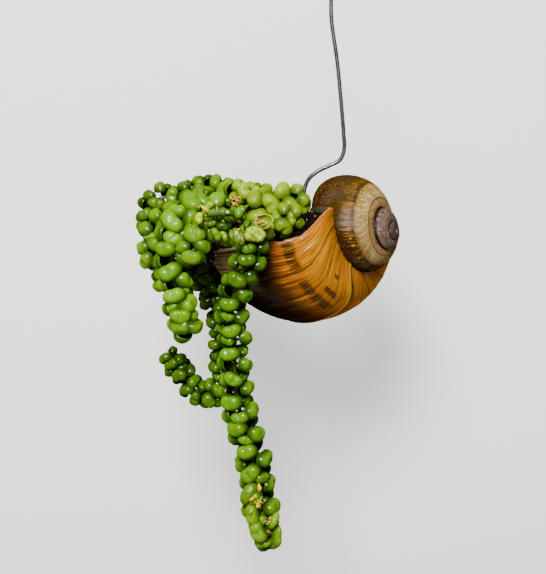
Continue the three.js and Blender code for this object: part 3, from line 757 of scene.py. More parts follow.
def soil_piece(rng):
    build = Build()
    sides = SOIL_SIDES
    v = SEAM + TURN * np.arange(sides) / sides
    near, far = tube_point(np.array([-0.02, 0.02]), SECTION_RADIUS, SECTION_DROP)
    ahead = unit(far - near)
    share = np.linspace(0.02, 1.0, SOIL_RINGS)
    top = soil_surface(v, share)
    bumps = 0.9 * wobble(top.reshape(-1, 3), 7.0, 3) + 0.45 * wobble(top.reshape(-1, 3), 2.2, 4)
    calm = np.repeat(1 - share ** 4, sides)
    top = top.reshape(-1, 3) + (bumps * calm)[:, None] * ahead
    x, y = hollow_point(v)
    x, y = inset_outline(x, y, SOIL_CLEARANCE / scale_at(-STEP_ANGLE))
    own, _ = section_polar(x, y)
    rim_angle = lip_angle(own) - SOIL_BELOW_LIP
    sunk = []
    for k in range(1, SOIL_DEPTHS + 1):
        sunk.append(tube_point(rim_angle + (SOIL_END - rim_angle) * k / SOIL_DEPTHS, x, y))
    foot = tube_point(np.array([SOIL_END]), SECTION_RADIUS, SECTION_DROP)[0]
    centre = soil_surface(v, np.array([0.0])).reshape(-1, 3)[0]
    points = np.concatenate([top, *sunk, [centre], [foot]])
    build.add(points, closed_faces(SOIL_RINGS + SOIL_DEPTHS, sides), paint=srgb(10, 7, 5))

    ball, ball_faces = icosphere(2)
    grid = top.reshape(SOIL_RINGS, sides, 3)

    def somewhere(low, high):
        ring = int(np.clip((SOIL_RINGS - 1) * math.sqrt(rng.uniform(low ** 2, high ** 2)), 0, SOIL_RINGS - 2))
        return grid[ring, rng.randrange(sides)]

    def lump(place, size, paint):
        stretch = np.array([rng.uniform(0.7, 1.4) for _ in range(3)])
        rough = 1 + 0.28 * np.array([rng.uniform(-1, 1) for _ in range(len(ball))])
        shape = ball * stretch * rough[:, None]
        turn = np.array(Vector((rng.gauss(0, 1), rng.gauss(0, 1), rng.gauss(0, 1))).normalized()
                        .rotation_difference(Vector((0, 0, 1))).to_matrix())
        build.add(place + shape @ turn.T * size, ball_faces, paint=paint)

    def fibre(place, flatness, sway, lengths, radii, colours, squash=1.0):
        """A bent fibre about a place. Flatness is how far it keeps to the surface of the mix."""
        run = np.array([rng.gauss(0, 1) for _ in range(3)])
        run = unit(run - ahead * run.dot(ahead) * flatness)
        bend = np.array([rng.gauss(0, sway) for _ in range(3)])
        length = rng.uniform(*lengths)
        steps = np.linspace(-0.5, 0.5, 9)[:, None]
        path = place + run * steps * length * np.array([1, 1, squash]) + bend * steps ** 2 * length
        build.tube(path, rng.uniform(*radii), 5, paint=srgb(*rng.choice(colours)))

    browns = [(8, 6, 4), (12, 8, 5), (20, 12, 7), (7, 5, 4), (30, 18, 9), (10, 8, 6)]
    for _ in range(760):
        lump(somewhere(0.0, 0.95) + ahead * rng.uniform(-0.3, 0.5), rng.uniform(0.35, 1.25),
             srgb(*rng.choice(browns)))
    for _ in range(26):
        lump(somewhere(0.0, 0.6) + ahead * rng.uniform(0.2, 0.8), rng.uniform(0.2, 0.4),
             srgb(*rng.choice([(214, 208, 196), (186, 150, 118), (226, 222, 214), (164, 96, 70)])))
    for _ in range(90):
        fibre(somewhere(0.1, 0.93) + ahead * rng.uniform(0.1, 0.9), 0.75, 0.35, (1.5, 5.0), (0.06, 0.16),
              [(44, 26, 10), (70, 42, 18), (22, 13, 7)])
    # Coir heaped at the base tip of the mouth. Its colours are painted lighter than the coir's own brown, as
    # painted light, since the heap lies in the shade of the leaves.
    coir_lightened = [(214, 166, 100), (160, 108, 56), (250, 214, 150), (96, 62, 32), (130, 86, 44)]

    def heap(bottom):
        ring, degrees = rng.randrange(13, 29), rng.uniform(0, 85)
        side = int(round((math.radians(degrees) - SEAM) / TURN * sides)) % sides
        rise = 1.6 + 5.6 * math.exp(-((degrees - 38) / 30) ** 2)
        return grid[ring, side] + ahead * rise * rng.uniform(bottom, 1.0)

    for _ in range(330):
        lump(heap(0.0), rng.uniform(0.35, 0.8), srgb(*rng.choice(coir_lightened[3:])))
    for _ in range(420):
        fibre(heap(0.45), 0, 0.4, (0.8, 2.6), (0.09, 0.2), coir_lightened, 0.7)
    # A tuft of roots that hangs over the lip there, in the same lightened colours.
    corner = np.array([-35.4, -14.0, -106.0])
    for _ in range(150):
        place = corner + np.array([rng.uniform(-0.9, 1.0), rng.uniform(-5, 3.5), rng.uniform(-4.6, 1.2)])
        lump(place, rng.uniform(0.5, 1.0), srgb(*rng.choice(browns + coir_lightened[3:])))
    for k in range(70):
        place = corner + np.array([rng.uniform(-0.9, 1.0), rng.uniform(-5, 3.5), rng.uniform(-1.6, 1.0)])
        length = rng.uniform(2.0, 6.0) if k else 8.0
        steps = np.linspace(0, 1, 12)[:, None]
        fall = np.array([rng.uniform(-0.35, 0.5), rng.uniform(-0.3, 0.3), -1.0])
        bend = np.array([rng.gauss(0, 0.25), rng.gauss(0, 0.25), rng.gauss(0, 0.1)])
        path = place + fall * steps * length * 0.8 + bend * np.sin(steps * 4) * length * 0.3
        build.tube(path, np.linspace(rng.uniform(0.08, 0.18), 0.04, 12), 5, paint=srgb(*rng.choice(coir_lightened)))
    return build.make("potting_mix_fine")


def soil_material():
    shade = Shade("coir_and_bark")
    place = shade.object_place()
    grain = shade.noise(place, 1400.0, 4.0, 0.7)
    patch = shade.noise(place, 300.0, 2.0)
    paint = shade.attribute("paint", colour=True)
    colour = shade.mix(shade.remap(grain, 0.35, 0.7, 0.0, 0.55), paint, srgb(4, 3, 2))
    colour = shade.mix(shade.remap(patch, 0.5, 0.7, 0.0, 0.12), colour, srgb(40, 24, 12))
    shade.bump(grain, 0.7, 0.0004)
    return shade.finish(Base_Color=colour, Roughness=0.92, Specular_IOR_Level=0.04)


# ---------------------------------------------------------------- the wire

WIRE_RADIUS = 0.8
WIRE_STEPS = 700
HOOK_RADIUS = 8.5


def columella_radius(angle, depth):
    """Distance of the hollow's inner side from the axis, on the coarse outline that the wire is fitted to."""
    first, last = FREE_FROM, FREE_TO
    outline = [section_point(first + (last - first) * i / 13, -WALL) for i in range(14)]
    for i in range(1, 5):
        x, y = section_point(COVER_FROM + (COVER_TO - COVER_FROM) * i / 5, CALLUS * GROWTH)
        outline.append((x / GROWTH, y / GROWTH))
    scale = scale_at(angle)
    level = depth / scale
    nearest = math.inf
    for (ax, ay), (bx, by) in zip(outline, outline[1:] + outline[:1]):
        if (ay - level) * (by - level) <= 0 and ay != by:
            nearest = min(nearest, ax + (bx - ax) * (level - ay) / (by - ay))
    return nearest * scale


def wire_curve():
    bend = HOOK_RADIUS + WIRE_RADIUS
    points = [(-bend - 1, 0, -HOOK_RADIUS - 6)]
    for degrees in (186, 160, 134, 108, 82, 56, 30, 6):
        angle = math.radians(degrees)
        points.append((bend * math.cos(angle), 0, bend * math.sin(angle) - HOOK_RADIUS))
    for x, z in ((bend, -15), (bend + 0.2, -22), (11.6, -36.5), (13.1, -51), (14.2, -64), (14.4, -69.5),
                 (13, -73.3), (9.2, -75.5), (4.8, -77.6), (1.2, -80.6), (-0.4, -84.5)):
        points.append((x, 0, z))
    points.append((-0.6, -0.8, -91))
    for i in range(10):
        angle = 0.3 + (math.radians(-165) - 0.3) * i / 9
        radius = columella_radius(min(angle, 0), 42) + WIRE_RADIUS + 0.35
        points.append(shell_point(np.array([angle]), np.array([radius]), np.array([42.0]))[0])
    return Curve(points)


def wire_piece():
    curve = wire_curve()
    place = np.arange(WIRE_STEPS + 1)
    path = np.array([curve.point_at(i / WIRE_STEPS) for i in place])
    radii = np.full(WIRE_STEPS + 1, WIRE_RADIUS)
    distance = np.minimum(place, place[::-1]) * curve.length / WIRE_STEPS
    near = distance < WIRE_RADIUS * 0.6
    radii[near] = WIRE_RADIUS * np.sqrt(1 - (1 - distance[near] / (WIRE_RADIUS * 0.6)) ** 2 * 0.75)
    build = Build()
    build.tube(path, radii, 16)
    return build.make("wire_hanger_fine")


def wire_material():
    shade = Shade("galvanised_wire")
    place = shade.object_place()
    dull = shade.noise(place, 900.0, 3.0, 0.6)
    stretched = shade.noise(place, 220.0, 2.0)
    colour = shade.mix(shade.remap(dull, 0.35, 0.7), srgb(100, 102, 103), srgb(54, 56, 57))
    colour = shade.mix(shade.remap(stretched, 0.5, 0.7, 0.0, 0.6), colour, srgb(44, 43, 40))
    shade.bump(dull, 0.15, 0.0002)
    return shade.finish(Base_Color=colour, Metallic=0.85, Roughness=shade.remap(dull, 0.3, 0.7, 0.22, 0.4))


# ---------------------------------------------------------------- stems, leaves and flowers

STEM_RADIUS = 0.9
FIRST_LEAF = 9
LEAF_SHORTNESS = 0.82
LEAF_NOTCH = 0.34
NOTCH_SPREAD = 0.5
LEAF_OFFSET = 0.41
LEAF_CHOICES = [(0, 1), (0.5, 1), (-0.5, 1), (0, 0.85), (0.5, 0.85), (-0.5, 0.85), (0, 0.7), (0.6, 0.7),
                (-0.6, 0.7)]
DEEP, MID, PALE = "deep_leaf", "leaf", "pale_leaf"

# Route, leaf width at root and tip, spacing of pairs, length of crowded tip, seed and slot.
Strand = namedtuple("Strand", "route leaf tip_leaf spacing crowded_tip seed slot")
STRANDS = {
    "strand_front": Strand([
        (-17, -21.5, -109), (-17.5, -25.5, -101), (-18, -32, -98), (-19, -38, -101), (-20.5, -39, -109),
        (-24, -38.5, -114.5), (-25.5, -38, -121), (-26.5, -37.5, -128), (-25.5, -37, -138.5),
        (-25.6, -37, -147.5), (-24.5, -37, -158), (-22.6, -37, -167), (-20, -37, -175.5),
        (-18.2, -37, -183), (-17.3, -37, -191), (-15.7, -37, -201), (-13.9, -37, -208.5),
    ], 7.4, 8.4, 4.3, 12, 11, DEEP),
    "strand_rear": Strand([
        (-25.9, -6.5, -110), (-28.5, -5.5, -102.5), (-33, -3, -100.5), (-38, -0.5, -101), (-41.8, 2, -105.5),
        (-41.3, 2, -113), (-38.2, 0, -119), (-35.4, -3, -124.5), (-32.8, -5.5, -130), (-31.3, -8, -138),
        (-31, -10, -147), (-31.2, -10.5, -154.5), (-34.3, -10.5, -160), (-40.2, -10.5, -159.8),
        (-44.2, -10.5, -154.6), (-48, -10.5, -149.6), (-49.8, -10.5, -147),
    ], 7, 6.4, 4.15, 0, 23, DEEP),
    "strand_left": Strand([
        (-24.7, -12.2, -109), (-27, -14, -100.5), (-33, -17, -93), (-40, -21.5, -91.5), (-45.5, -26, -95),
        (-47.8, -28, -103), (-47.6, -28.5, -111), (-46.6, -28.5, -119.5), (-44.9, -28.5, -127),
        (-43.2, -28.5, -133.4),
    ], 9, 7.4, 4.2, 0, 37, MID),
    "strand_left_outer": Strand([
        (-28, -9, -109.5), (-30.5, -9.5, -101.5), (-37, -11, -96), (-45, -12.5, -94.5), (-52, -14, -97),
        (-55.6, -15, -102.5), (-54.8, -15.5, -109.5), (-51.4, -16, -116),
    ], 8.6, 7.8, 4.2, 0, 41, MID),
    "strand_top_left": Strand([
        (-20.6, -3.8, -109), (-23, -3, -101), (-29, -1.5, -93.5), (-37, -1, -89.5), (-45, -1.5, -87.3),
        (-53, -2, -87.3), (-57.2, -2.5, -90.8), (-58.6, -3, -97),
    ], 7.6, 7.4, 3.9, 0, 43, MID),
    "strand_top_middle": Strand([
        (-14, -3.3, -108), (-15.5, -1.5, -99), (-20, 2, -91.5), (-27, 5, -87.5), (-35, 6.5, -84.5),
        (-42, 7, -83.5),
    ], 7.8, 7, 3.9, 0, 53, MID),
    "strand_right": Strand([
        (-14.6, -12.1, -108), (-17, -12.5, -99), (-18, -12.5, -93.5), (-14.5, -13.5, -90), (-8, -13.5, -89),
        (-4.5, -12.5, -88.8), (-2.2, -11.5, -89.6),
    ], 9, 8.6, 3.8, 0, 67, PALE),
    "strand_right_low": Strand([
        (-12, -19.5, -107), (-12.3, -21.2, -99.8), (-10, -22.8, -96), (-7, -23, -94.8), (-3.6, -22.2, -94),
    ], 8.4, 7.8, 3.2, 0, 71, PALE),
    "strand_middle": Strand([
        (-23, -18.2, -109), (-25, -21.2, -100.5), (-28.5, -24.5, -96.5), (-33.5, -27.5, -96),
        (-38, -30.5, -99), (-40, -32, -104.5), (-40, -32.5, -108),
    ], 8.2, 7.4, 3.8, 0, 79, MID),
    "strand_crown": Strand([
        (-10, -6.5, -107), (-11, -6, -98), (-14, -5.5, -90.5), (-19.5, -6, -86.5), (-26, -7, -85.2),
    ], 8, 7.4, 3.6, 0, 97, PALE),
}

BARE_STEM = [
    (-21.5, -24.5, -106.5), (-22.3, -27, -99), (-24.5, -32.5, -93.5), (-29, -36.5, -92), (-35, -38, -92.5),
]


def random_from(seed):
    state = seed
    while True:
        state = (state * 1664525 + 1013904223) % 4294967296
        yield state / 4294967296


def leaf_frame(curve, u, angle, lean, width):
    """Centre, directions, width and root of a leaf."""
    point, tangent, normal, binormal = curve.frame_at(u)
    outward = unit(normal * math.cos(angle) + binormal * math.sin(angle) + tangent * lean)
    across = unit(np.cross(tangent, outward))
    along = np.cross(outward, across)
    centre = point + outward * (STEM_RADIUS + LEAF_OFFSET * width)
    return centre, across, along, outward, width, point


def coarse_points(leaf):
    """The corners that this leaf has in the frame's solid."""
    centre, across, along, outward, width, _ = leaf
    half = width / 2
    points = [centre + outward * 0.62 * half]
    for i in range(6):
        angle = i / 6 * TURN
        notch = min(angle, TURN - angle)
        reach = 1 - LEAF_NOTCH * math.exp(-(notch / NOTCH_SPREAD) ** 2)
        x, y = reach * math.sin(angle), -LEAF_SHORTNESS * reach * math.cos(angle)
        points.append(centre + (across * x + along * y - outward * 0.18) * half)
        points.append(centre + (across * x * 0.86 + along * y * 0.86 + outward * 0.28) * half)
    return points


def pair_places(curve, spacing, crowded_tip):
    steps = int(math.floor(curve.length / spacing + 0.5))
    places = []
    for i in range(int(math.floor(FIRST_LEAF / spacing + 0.5)), steps):
        crowded = (steps - i) * spacing < crowded_tip
        places.append((i / steps, 0.8 if crowded else 1.0))
        if crowded:
            places.append(((i + 0.5) / steps, 0.8))
    return places


def grown_leaves(name):
    """The leaves that the frame's solid of this strand has, with their frames."""
    strand = STRANDS[name]
    curve = Curve(strand.route)
    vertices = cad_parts[name].data.vertices
    tree = KDTree(len(vertices))
    for vertex in vertices:
        tree.insert(vertex.co, vertex.index)
    tree.balance()
    draw = random_from(strand.seed)
    places = pair_places(curve, strand.spacing, strand.crowded_tip)
    leaves = []
    for pair, (u, share) in enumerate(places):
        spread = 1 + 0.12 * (next(draw) - 0.5)
        full = share * spread * (strand.leaf + (strand.tip_leaf - strand.leaf) * u)
        for side in (0, math.pi):
            angle = pair * (math.pi / 2) + side + 0.5 * (next(draw) - 0.5)
            lean = 1.1 if pair == len(places) - 1 else 0.35 * (next(draw) - 0.35)
            best, best_count = None, 2
            for turn, size in LEAF_CHOICES:
                candidate = leaf_frame(curve, u, angle + turn, lean, size * full)
                count = sum(tree.find(Vector(p * MM))[2] < 0.03 * MM for p in coarse_points(candidate))
                if count > best_count:
                    best, best_count = candidate, count
            if best:
                leaves.append((u, best))
    return curve, leaves


def skin_of(piece):
    corners = [vertex.co[:] for vertex in piece.data.vertices]
    return BVHTree.FromPolygons(corners, [face.vertices[:] for face in piece.data.polygons])


class Crowd:
    """Balls that stand for the leaves placed so far, so that a new leaf finds a gap among them."""

    def __init__(self, solids):
        self.places = np.zeros((0, 3))
        self.radii = np.zeros(0)
        self.walls = [skin_of(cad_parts[name]) for name in solids]

    @staticmethod
    def balls(leaf):
        centre, across, along, outward, width, _ = leaf
        half = width / 2
        middle = centre + outward * 0.18 * half
        places = [middle + across * 0.52 * half, middle - across * 0.52 * half,
                  middle + along * 0.38 * half, middle - along * 0.3 * half, middle]
        return np.array(places), np.array([0.42, 0.42, 0.42, 0.42, 0.46]) * half

    def overlap(self, leaf):
        places, radii = self.balls(leaf)
        apart = np.linalg.norm(self.places[None] - places[:, None], axis=2)
        return float((radii[:, None] + self.radii[None] - apart).max())

    def clear_of_walls(self, leaf, slack):
        for place, radius in zip(*self.balls(leaf)):
            for wall in self.walls:
                distance = wall.find_nearest(Vector(place * MM))[3]
                if distance is not None and distance < (radius - slack) * MM:
                    return False
        return True

    def add(self, leaf):
        places, radii = self.balls(leaf)
        self.places = np.concatenate([self.places, places])
        self.radii = np.concatenate([self.radii, radii])


# The eye that looks at the plant from the front, and the y of the row that views are given at.
EYE = np.array([-12.2, -470.3, -80.1])
OPEN_ROW = -38.0
# Leaves behind this y may stand in the open views.
FREE_BACK = -10.0
# Places where the mix or shell shows between the leaves: x and z at OPEN_ROW, and the radius to keep clear.
OPEN_VIEWS = [
    (-31.9, -104.3, 2.0), (-28.5, -104.0, 2.4), (-26.4, -108.6, 2.6), (-25.4, -111.0, 1.6),
    (-25.4, -103.7, 2.0), (1.6, -92.2, 2.6), (-0.8, -96.0, 1.8), (-3.9, -98.8, 1.2), (-7.7, -100.9, 1.2),
    (3.3, -89.8, 2.2), (-11.5, -102.6, 0.8), (-18.4, -99.5, 3.0), (-24.4, -100.5, 2.2), (-15.6, -94.9, 2.6),
    (-25.0, -87.8, 1.8),
]


def hides_a_view(leaf):
    """Whether a leaf would stand in one of the open views from the front."""
    if leaf[0][1] > FREE_BACK:
        return False
    for x, z, radius in OPEN_VIEWS:
        run = unit(np.array([x, OPEN_ROW, z]) - EYE)
        away = leaf[0] - EYE
        if np.linalg.norm(away - run * away.dot(run)) < radius + 0.36 * leaf[4]:
            return True
    return False


# Passes that fill the gaps along a stem: share of the full leaf width, and how far leaves may press in.
FILL_PASSES = [(1.0, 0.45), (0.92, 0.5), (0.84, 0.55), (0.74, 0.5)]
TRIES_A_PAIR = 26


def filled_in(name, curve, crowd, rng):
    """Further leaves between those of the frame's solid, as crowded as on the plant."""
    strand = STRANDS[name]
    tries = int(curve.length / strand.spacing * TRIES_A_PAIR)
    found = []
    for share, press in FILL_PASSES:
        for _ in range(tries):
            u = rng.uniform((FIRST_LEAF - 2.5) / curve.length, 1.0)
            angle = rng.uniform(0, TURN)
            lean = rng.uniform(-0.6, 0.75) + (0.4 if u > 1 - 3 / curve.length else 0.0)
            full = strand.leaf + (strand.tip_leaf - strand.leaf) * u
            width = share * rng.uniform(0.94, 1.04) * full
            candidate = leaf_frame(curve, u, angle, lean, width)
            if (crowd.overlap(candidate) < press and not hides_a_view(candidate)
                    and crowd.clear_of_walls(candidate, 0.3)):
                crowd.add(candidate)
                found.append((u, candidate))
    return found


LEAF_ROUND = 20


def leaf_template():
    """Rings of a domed bean leaf: place round it, share of the outline, height, and which surface."""
    rings = []
    for share in (0.14, 0.3, 0.46, 0.6, 0.72, 0.82, 0.9, 0.955, 0.988, 1.0):
        rings.append((share, -0.18 + 0.76 * math.sqrt(max(0.0, 1 - share ** 3.4)), 0.0))
    rings += [(0.985, -0.27, 0.1), (0.93, -0.33, 0.3), (0.83, -0.33, 0.7), (0.68, -0.26, 1.0),
              (0.46, -0.19, 1.0), (0.26, -0.25, 1.0), (0.16, -0.5, 1.0)]
    return rings


LEAF_RINGS = leaf_template()
LEAF_FACES = [face[::-1] for face in closed_faces(len(LEAF_RINGS) + 2, LEAF_ROUND)]


def leaf_mesh(leaf, rng, tone, loose=1.0, wrinkle=0.035, narrow=1.0):
    """Points, faces and paint of one leaf; loose is how freely it turns and nods. A much wrinkled leaf is
    mottled too, with a scalloped edge."""
    centre, across, along, outward, width, root = leaf
    half = width / 2
    twist, nod, cup = loose * rng.uniform(-0.55, 0.55), loose * rng.uniform(-0.3, 0.3), rng.uniform(0.0, 0.16)
    across, along = (across * math.cos(twist) + along * math.sin(twist),
                     along * math.cos(twist) - across * math.sin(twist))
    along, outward = (along * math.cos(nod) + outward * math.sin(nod),
                      outward * math.cos(nod) - along * math.sin(nod))
    angle = TURN * np.arange(LEAF_ROUND) / LEAF_ROUND
    notch = np.minimum(angle, TURN - angle)
    depth = LEAF_NOTCH * rng.uniform(0.75, 1.1)
    reach = 1 - depth * np.exp(-(notch / (NOTCH_SPREAD * rng.uniform(0.9, 1.15))) ** 2)
    tip = np.abs(angle - math.pi)
    reach -= rng.uniform(-0.02, 0.07) * np.exp(-(tip / 0.6) ** 2)
    reach *= 1 + rng.uniform(-0.04, 0.04) * np.sin(angle + rng.uniform(0, TURN))
    reach *= 1 + 0.02 * np.sin(angle * rng.choice((3, 4, 5)) + rng.uniform(0, TURN))
    mottled = wrinkle > 0.1
    if mottled:
        reach *= 1 + 0.03 * np.sin(8 * angle + 1.0) + 0.02 * np.sin(5 * angle)
    short = LEAF_SHORTNESS * narrow * rng.uniform(0.84, 1.0)
    x0, y0 = reach * np.sin(angle), -short * reach * np.cos(angle)
    groove = rng.uniform(0.06, 0.2)
    skew = rng.uniform(-0.05, 0.05)
    points, paint = [], []
    phases = [rng.uniform(0, TURN) for _ in range(4)]
    light, shaded_green, shaded_under_colour = tone
    for share, height, under in LEAF_RINGS:
        # The notch fades towards the middle of the leaf, where the outline is nearly round.
        blend = share ** 1.5 if under < 0.5 else share
        x = share * (x0 * blend + np.sin(angle) * (1 - blend))
        y = share * (y0 * blend - short * np.cos(angle) * (1 - blend))
        z = np.full(LEAF_ROUND, height)
        if under < 0.5:
            fold = np.exp(-((x - skew) / 0.17) ** 2) * np.clip(0.75 - 0.9 * y, 0.15, 1.4)
            z = z - groove * fold * (1 - share ** 6) - 0.05 * fold * share ** 2
            z = z + wrinkle * np.sin(5 * x + phases[0]) * np.sin(4 * y + phases[1]) * (1 - share ** 3)
            z = z + 0.6 * wrinkle * np.sin(11 * x + 3 * y + phases[2]) * np.sin(9 * y + phases[3])
        z = z + 0.06 * np.sin(2 * angle + phases[2]) * share ** 3
        z = z + 0.03 * np.sin(3 * angle + phases[3]) * share ** 3
        z = z - cup * share ** 4
        points.append(centre + half * (x[:, None] * across + y[:, None] * along + z[:, None] * outward))
        # Painted shade: the top is darker along the crease, towards the stalk end and at the rim, where
        # leaves meet and shade one another. The underside is painted near black as painted shade.
        if under < 0.5:
            painted_crease_shade = np.exp(-((x - skew) / 0.1) ** 2) * np.clip(0.6 - y, 0, 1) * (1 - share ** 4)
            rim = 0.95 * np.clip((share - 0.72) / 0.28, 0, 1) ** 2 * np.ones(LEAF_ROUND)
            weight = np.clip(0.28 * painted_crease_shade + 0.35 * np.clip(-y - 0.3, 0, 1) * share + rim, 0, 1)[:, None]
            ring = light * (1 - weight) + shaded_green * weight
            if mottled:
                patch = np.sin(9 * x + 4 * y + phases[0]) * np.sin(7 * y - 3 * x + phases[1])
                ring = ring * (1 + 0.45 * patch)[:, None]
        else:
            ring = np.broadcast_to(shaded_green * (1 - under) + shaded_under_colour * under, (LEAF_ROUND, 3))
        paint.append(ring)
    # The stalk, which reaches the stem, painted in the darker green as painted shade.
    stalk = centre - outward * 0.82 * half
    for k, radius in ((0.35, 0.15), (0.75, 0.12)):
        middle = stalk + (root - stalk) * k
        spoke = np.sin(angle)[:, None] * across - np.cos(angle)[:, None] * along
        points.append(middle + half * radius * spoke)
        paint.append(np.broadcast_to(shaded_green, (LEAF_ROUND, 3)))
    top = centre + half * outward * (0.58 - groove * 0.75 * math.exp(-(skew / 0.17) ** 2))
    points += [top[None], root[None]]
    paint += [light[None], shaded_green[None]]
    return np.concatenate(points), LEAF_FACES, np.concatenate(paint)


# How light the leaves of a stem are: places along it, and shares of the full tone. This is partly the leaves'
# own tone and partly painted shade, such as on the rear stem in the shade behind the shell.
LEAF_TONES_AND_SHADE = {
    "strand_front": ((0, 0.3, 0.5, 0.8, 1), (0.65, 0.95, 1.4, 1.4, 1.4)),
    "strand_rear": ((0, 0.3, 0.6, 1), (0.45, 0.8, 1.05, 0.7)),
    "strand_left": ((0, 0.5, 1), (0.95, 0.97, 1.15)),
    "strand_left_outer": ((0, 1), (0.8, 0.95)),
    "strand_top_left": ((0, 0.6, 1), (0.8, 0.7, 0.5)),
    "strand_top_middle": ((0, 1), (0.7, 0.8)),
    "strand_middle": ((0, 1), (0.7, 0.9)),
    "strand_right": ((0, 1), (0.75, 0.85)),
    "strand_right_low": ((0, 1), (0.6, 0.7)),
    "strand_crown": ((0, 1), (0.8, 0.95)),
}

# Each slot's green, a darker copy of it for painted shade at rims, creases and stalks, and a near-black copy
# for painted shade on the hollow underside.
GREENS = {
    DEEP: (srgb(62, 98, 0), srgb(20, 42, 0), srgb(4, 12, 0)),
    MID: (srgb(84, 124, 0), srgb(34, 62, 0), srgb(7, 18, 0)),
    PALE: (srgb(122, 148, 2), srgb(60, 88, 0), srgb(14, 28, 0)),
}


# How much wider the leaves of these stems are than in the frame's solids.
BROADER = {"strand_left": 1.13, "strand_middle": 1.1, "strand_left_outer": 1.08, "strand_top_middle": 1.1,
           "strand_crown": 1.06, "strand_right": 1.05}


def strand_piece(name, curve, leaves, crowd):
    rng = random.Random(STRANDS[name].seed)
    more = filled_in(name, curve, crowd, rng)
    broader = BROADER.get(name, 1.0)
    leaves = [(u, (*leaf[:4], leaf[4] * broader, leaf[5])) for u, leaf in leaves + more]
    build = Build()
    light, shaded_green, under = (np.array(c) for c in GREENS[STRANDS[name].slot])
    steps = int(curve.length / 0.7)
    path = [curve.point_at(i / steps) for i in range(steps + 1)]
    radii = 0.72 + 0.05 * np.sin(np.arange(steps + 1) * 0.9)
    build.tube(path, radii, 10, paint=srgb(44, 64, 6))
    for u, leaf in leaves:
        shade = rng.uniform(0.78, 1.15) * float(np.interp(u, *LEAF_TONES_AND_SHADE[name]))
        warm = rng.uniform(-0.08, 0.06)
        tint = np.array([1 + warm, 1.0, 1 - 2 * warm]) * shade
        tone, wrinkle = (light * tint, shaded_green * tint, under * tint), 0.035
        if name == "strand_front" and u < 0.13:
            tone, wrinkle = [np.array(srgb(*c)) for c in ((136, 160, 40), (66, 92, 4), (20, 36, 0))], 0.08
        points, faces, paint = leaf_mesh(leaf, rng, tone, wrinkle=wrinkle)
        build.add(points, faces, paint=paint)
    return build.make(name + "_fine")


def bare_stem_piece():
    curve = Curve(BARE_STEM)
    build = Build()
    steps = 80
    path = [curve.point_at(i / steps) for i in range(steps + 1)]
    along = np.linspace(0, curve.length, steps + 1)
    radii = 0.95 + 0.5 * np.clip((along / curve.length - 0.4) * 2, 0, 1)
    nodes = int(math.floor(curve.length / 6 + 0.5))
    for i in range(2, nodes):
        radii += 0.42 * np.exp(-((along - i / nodes * curve.length) / 0.7) ** 2)
    points, faces = tube(path, radii, 12)
    tan = np.zeros(len(points))
    for i in range(2, nodes):
        near = np.linalg.norm(points - curve.point_at(i / nodes), axis=1)
        tan = np.maximum(tan, np.exp(-(near / 1.3) ** 4))
    green, brown = np.array(srgb(48, 78, 8)), np.array(srgb(126, 108, 74))
    build.add(points, faces, paint=green * (1 - tan[:, None]) + brown * tan[:, None])
    return build.make("bare_stem_fine")


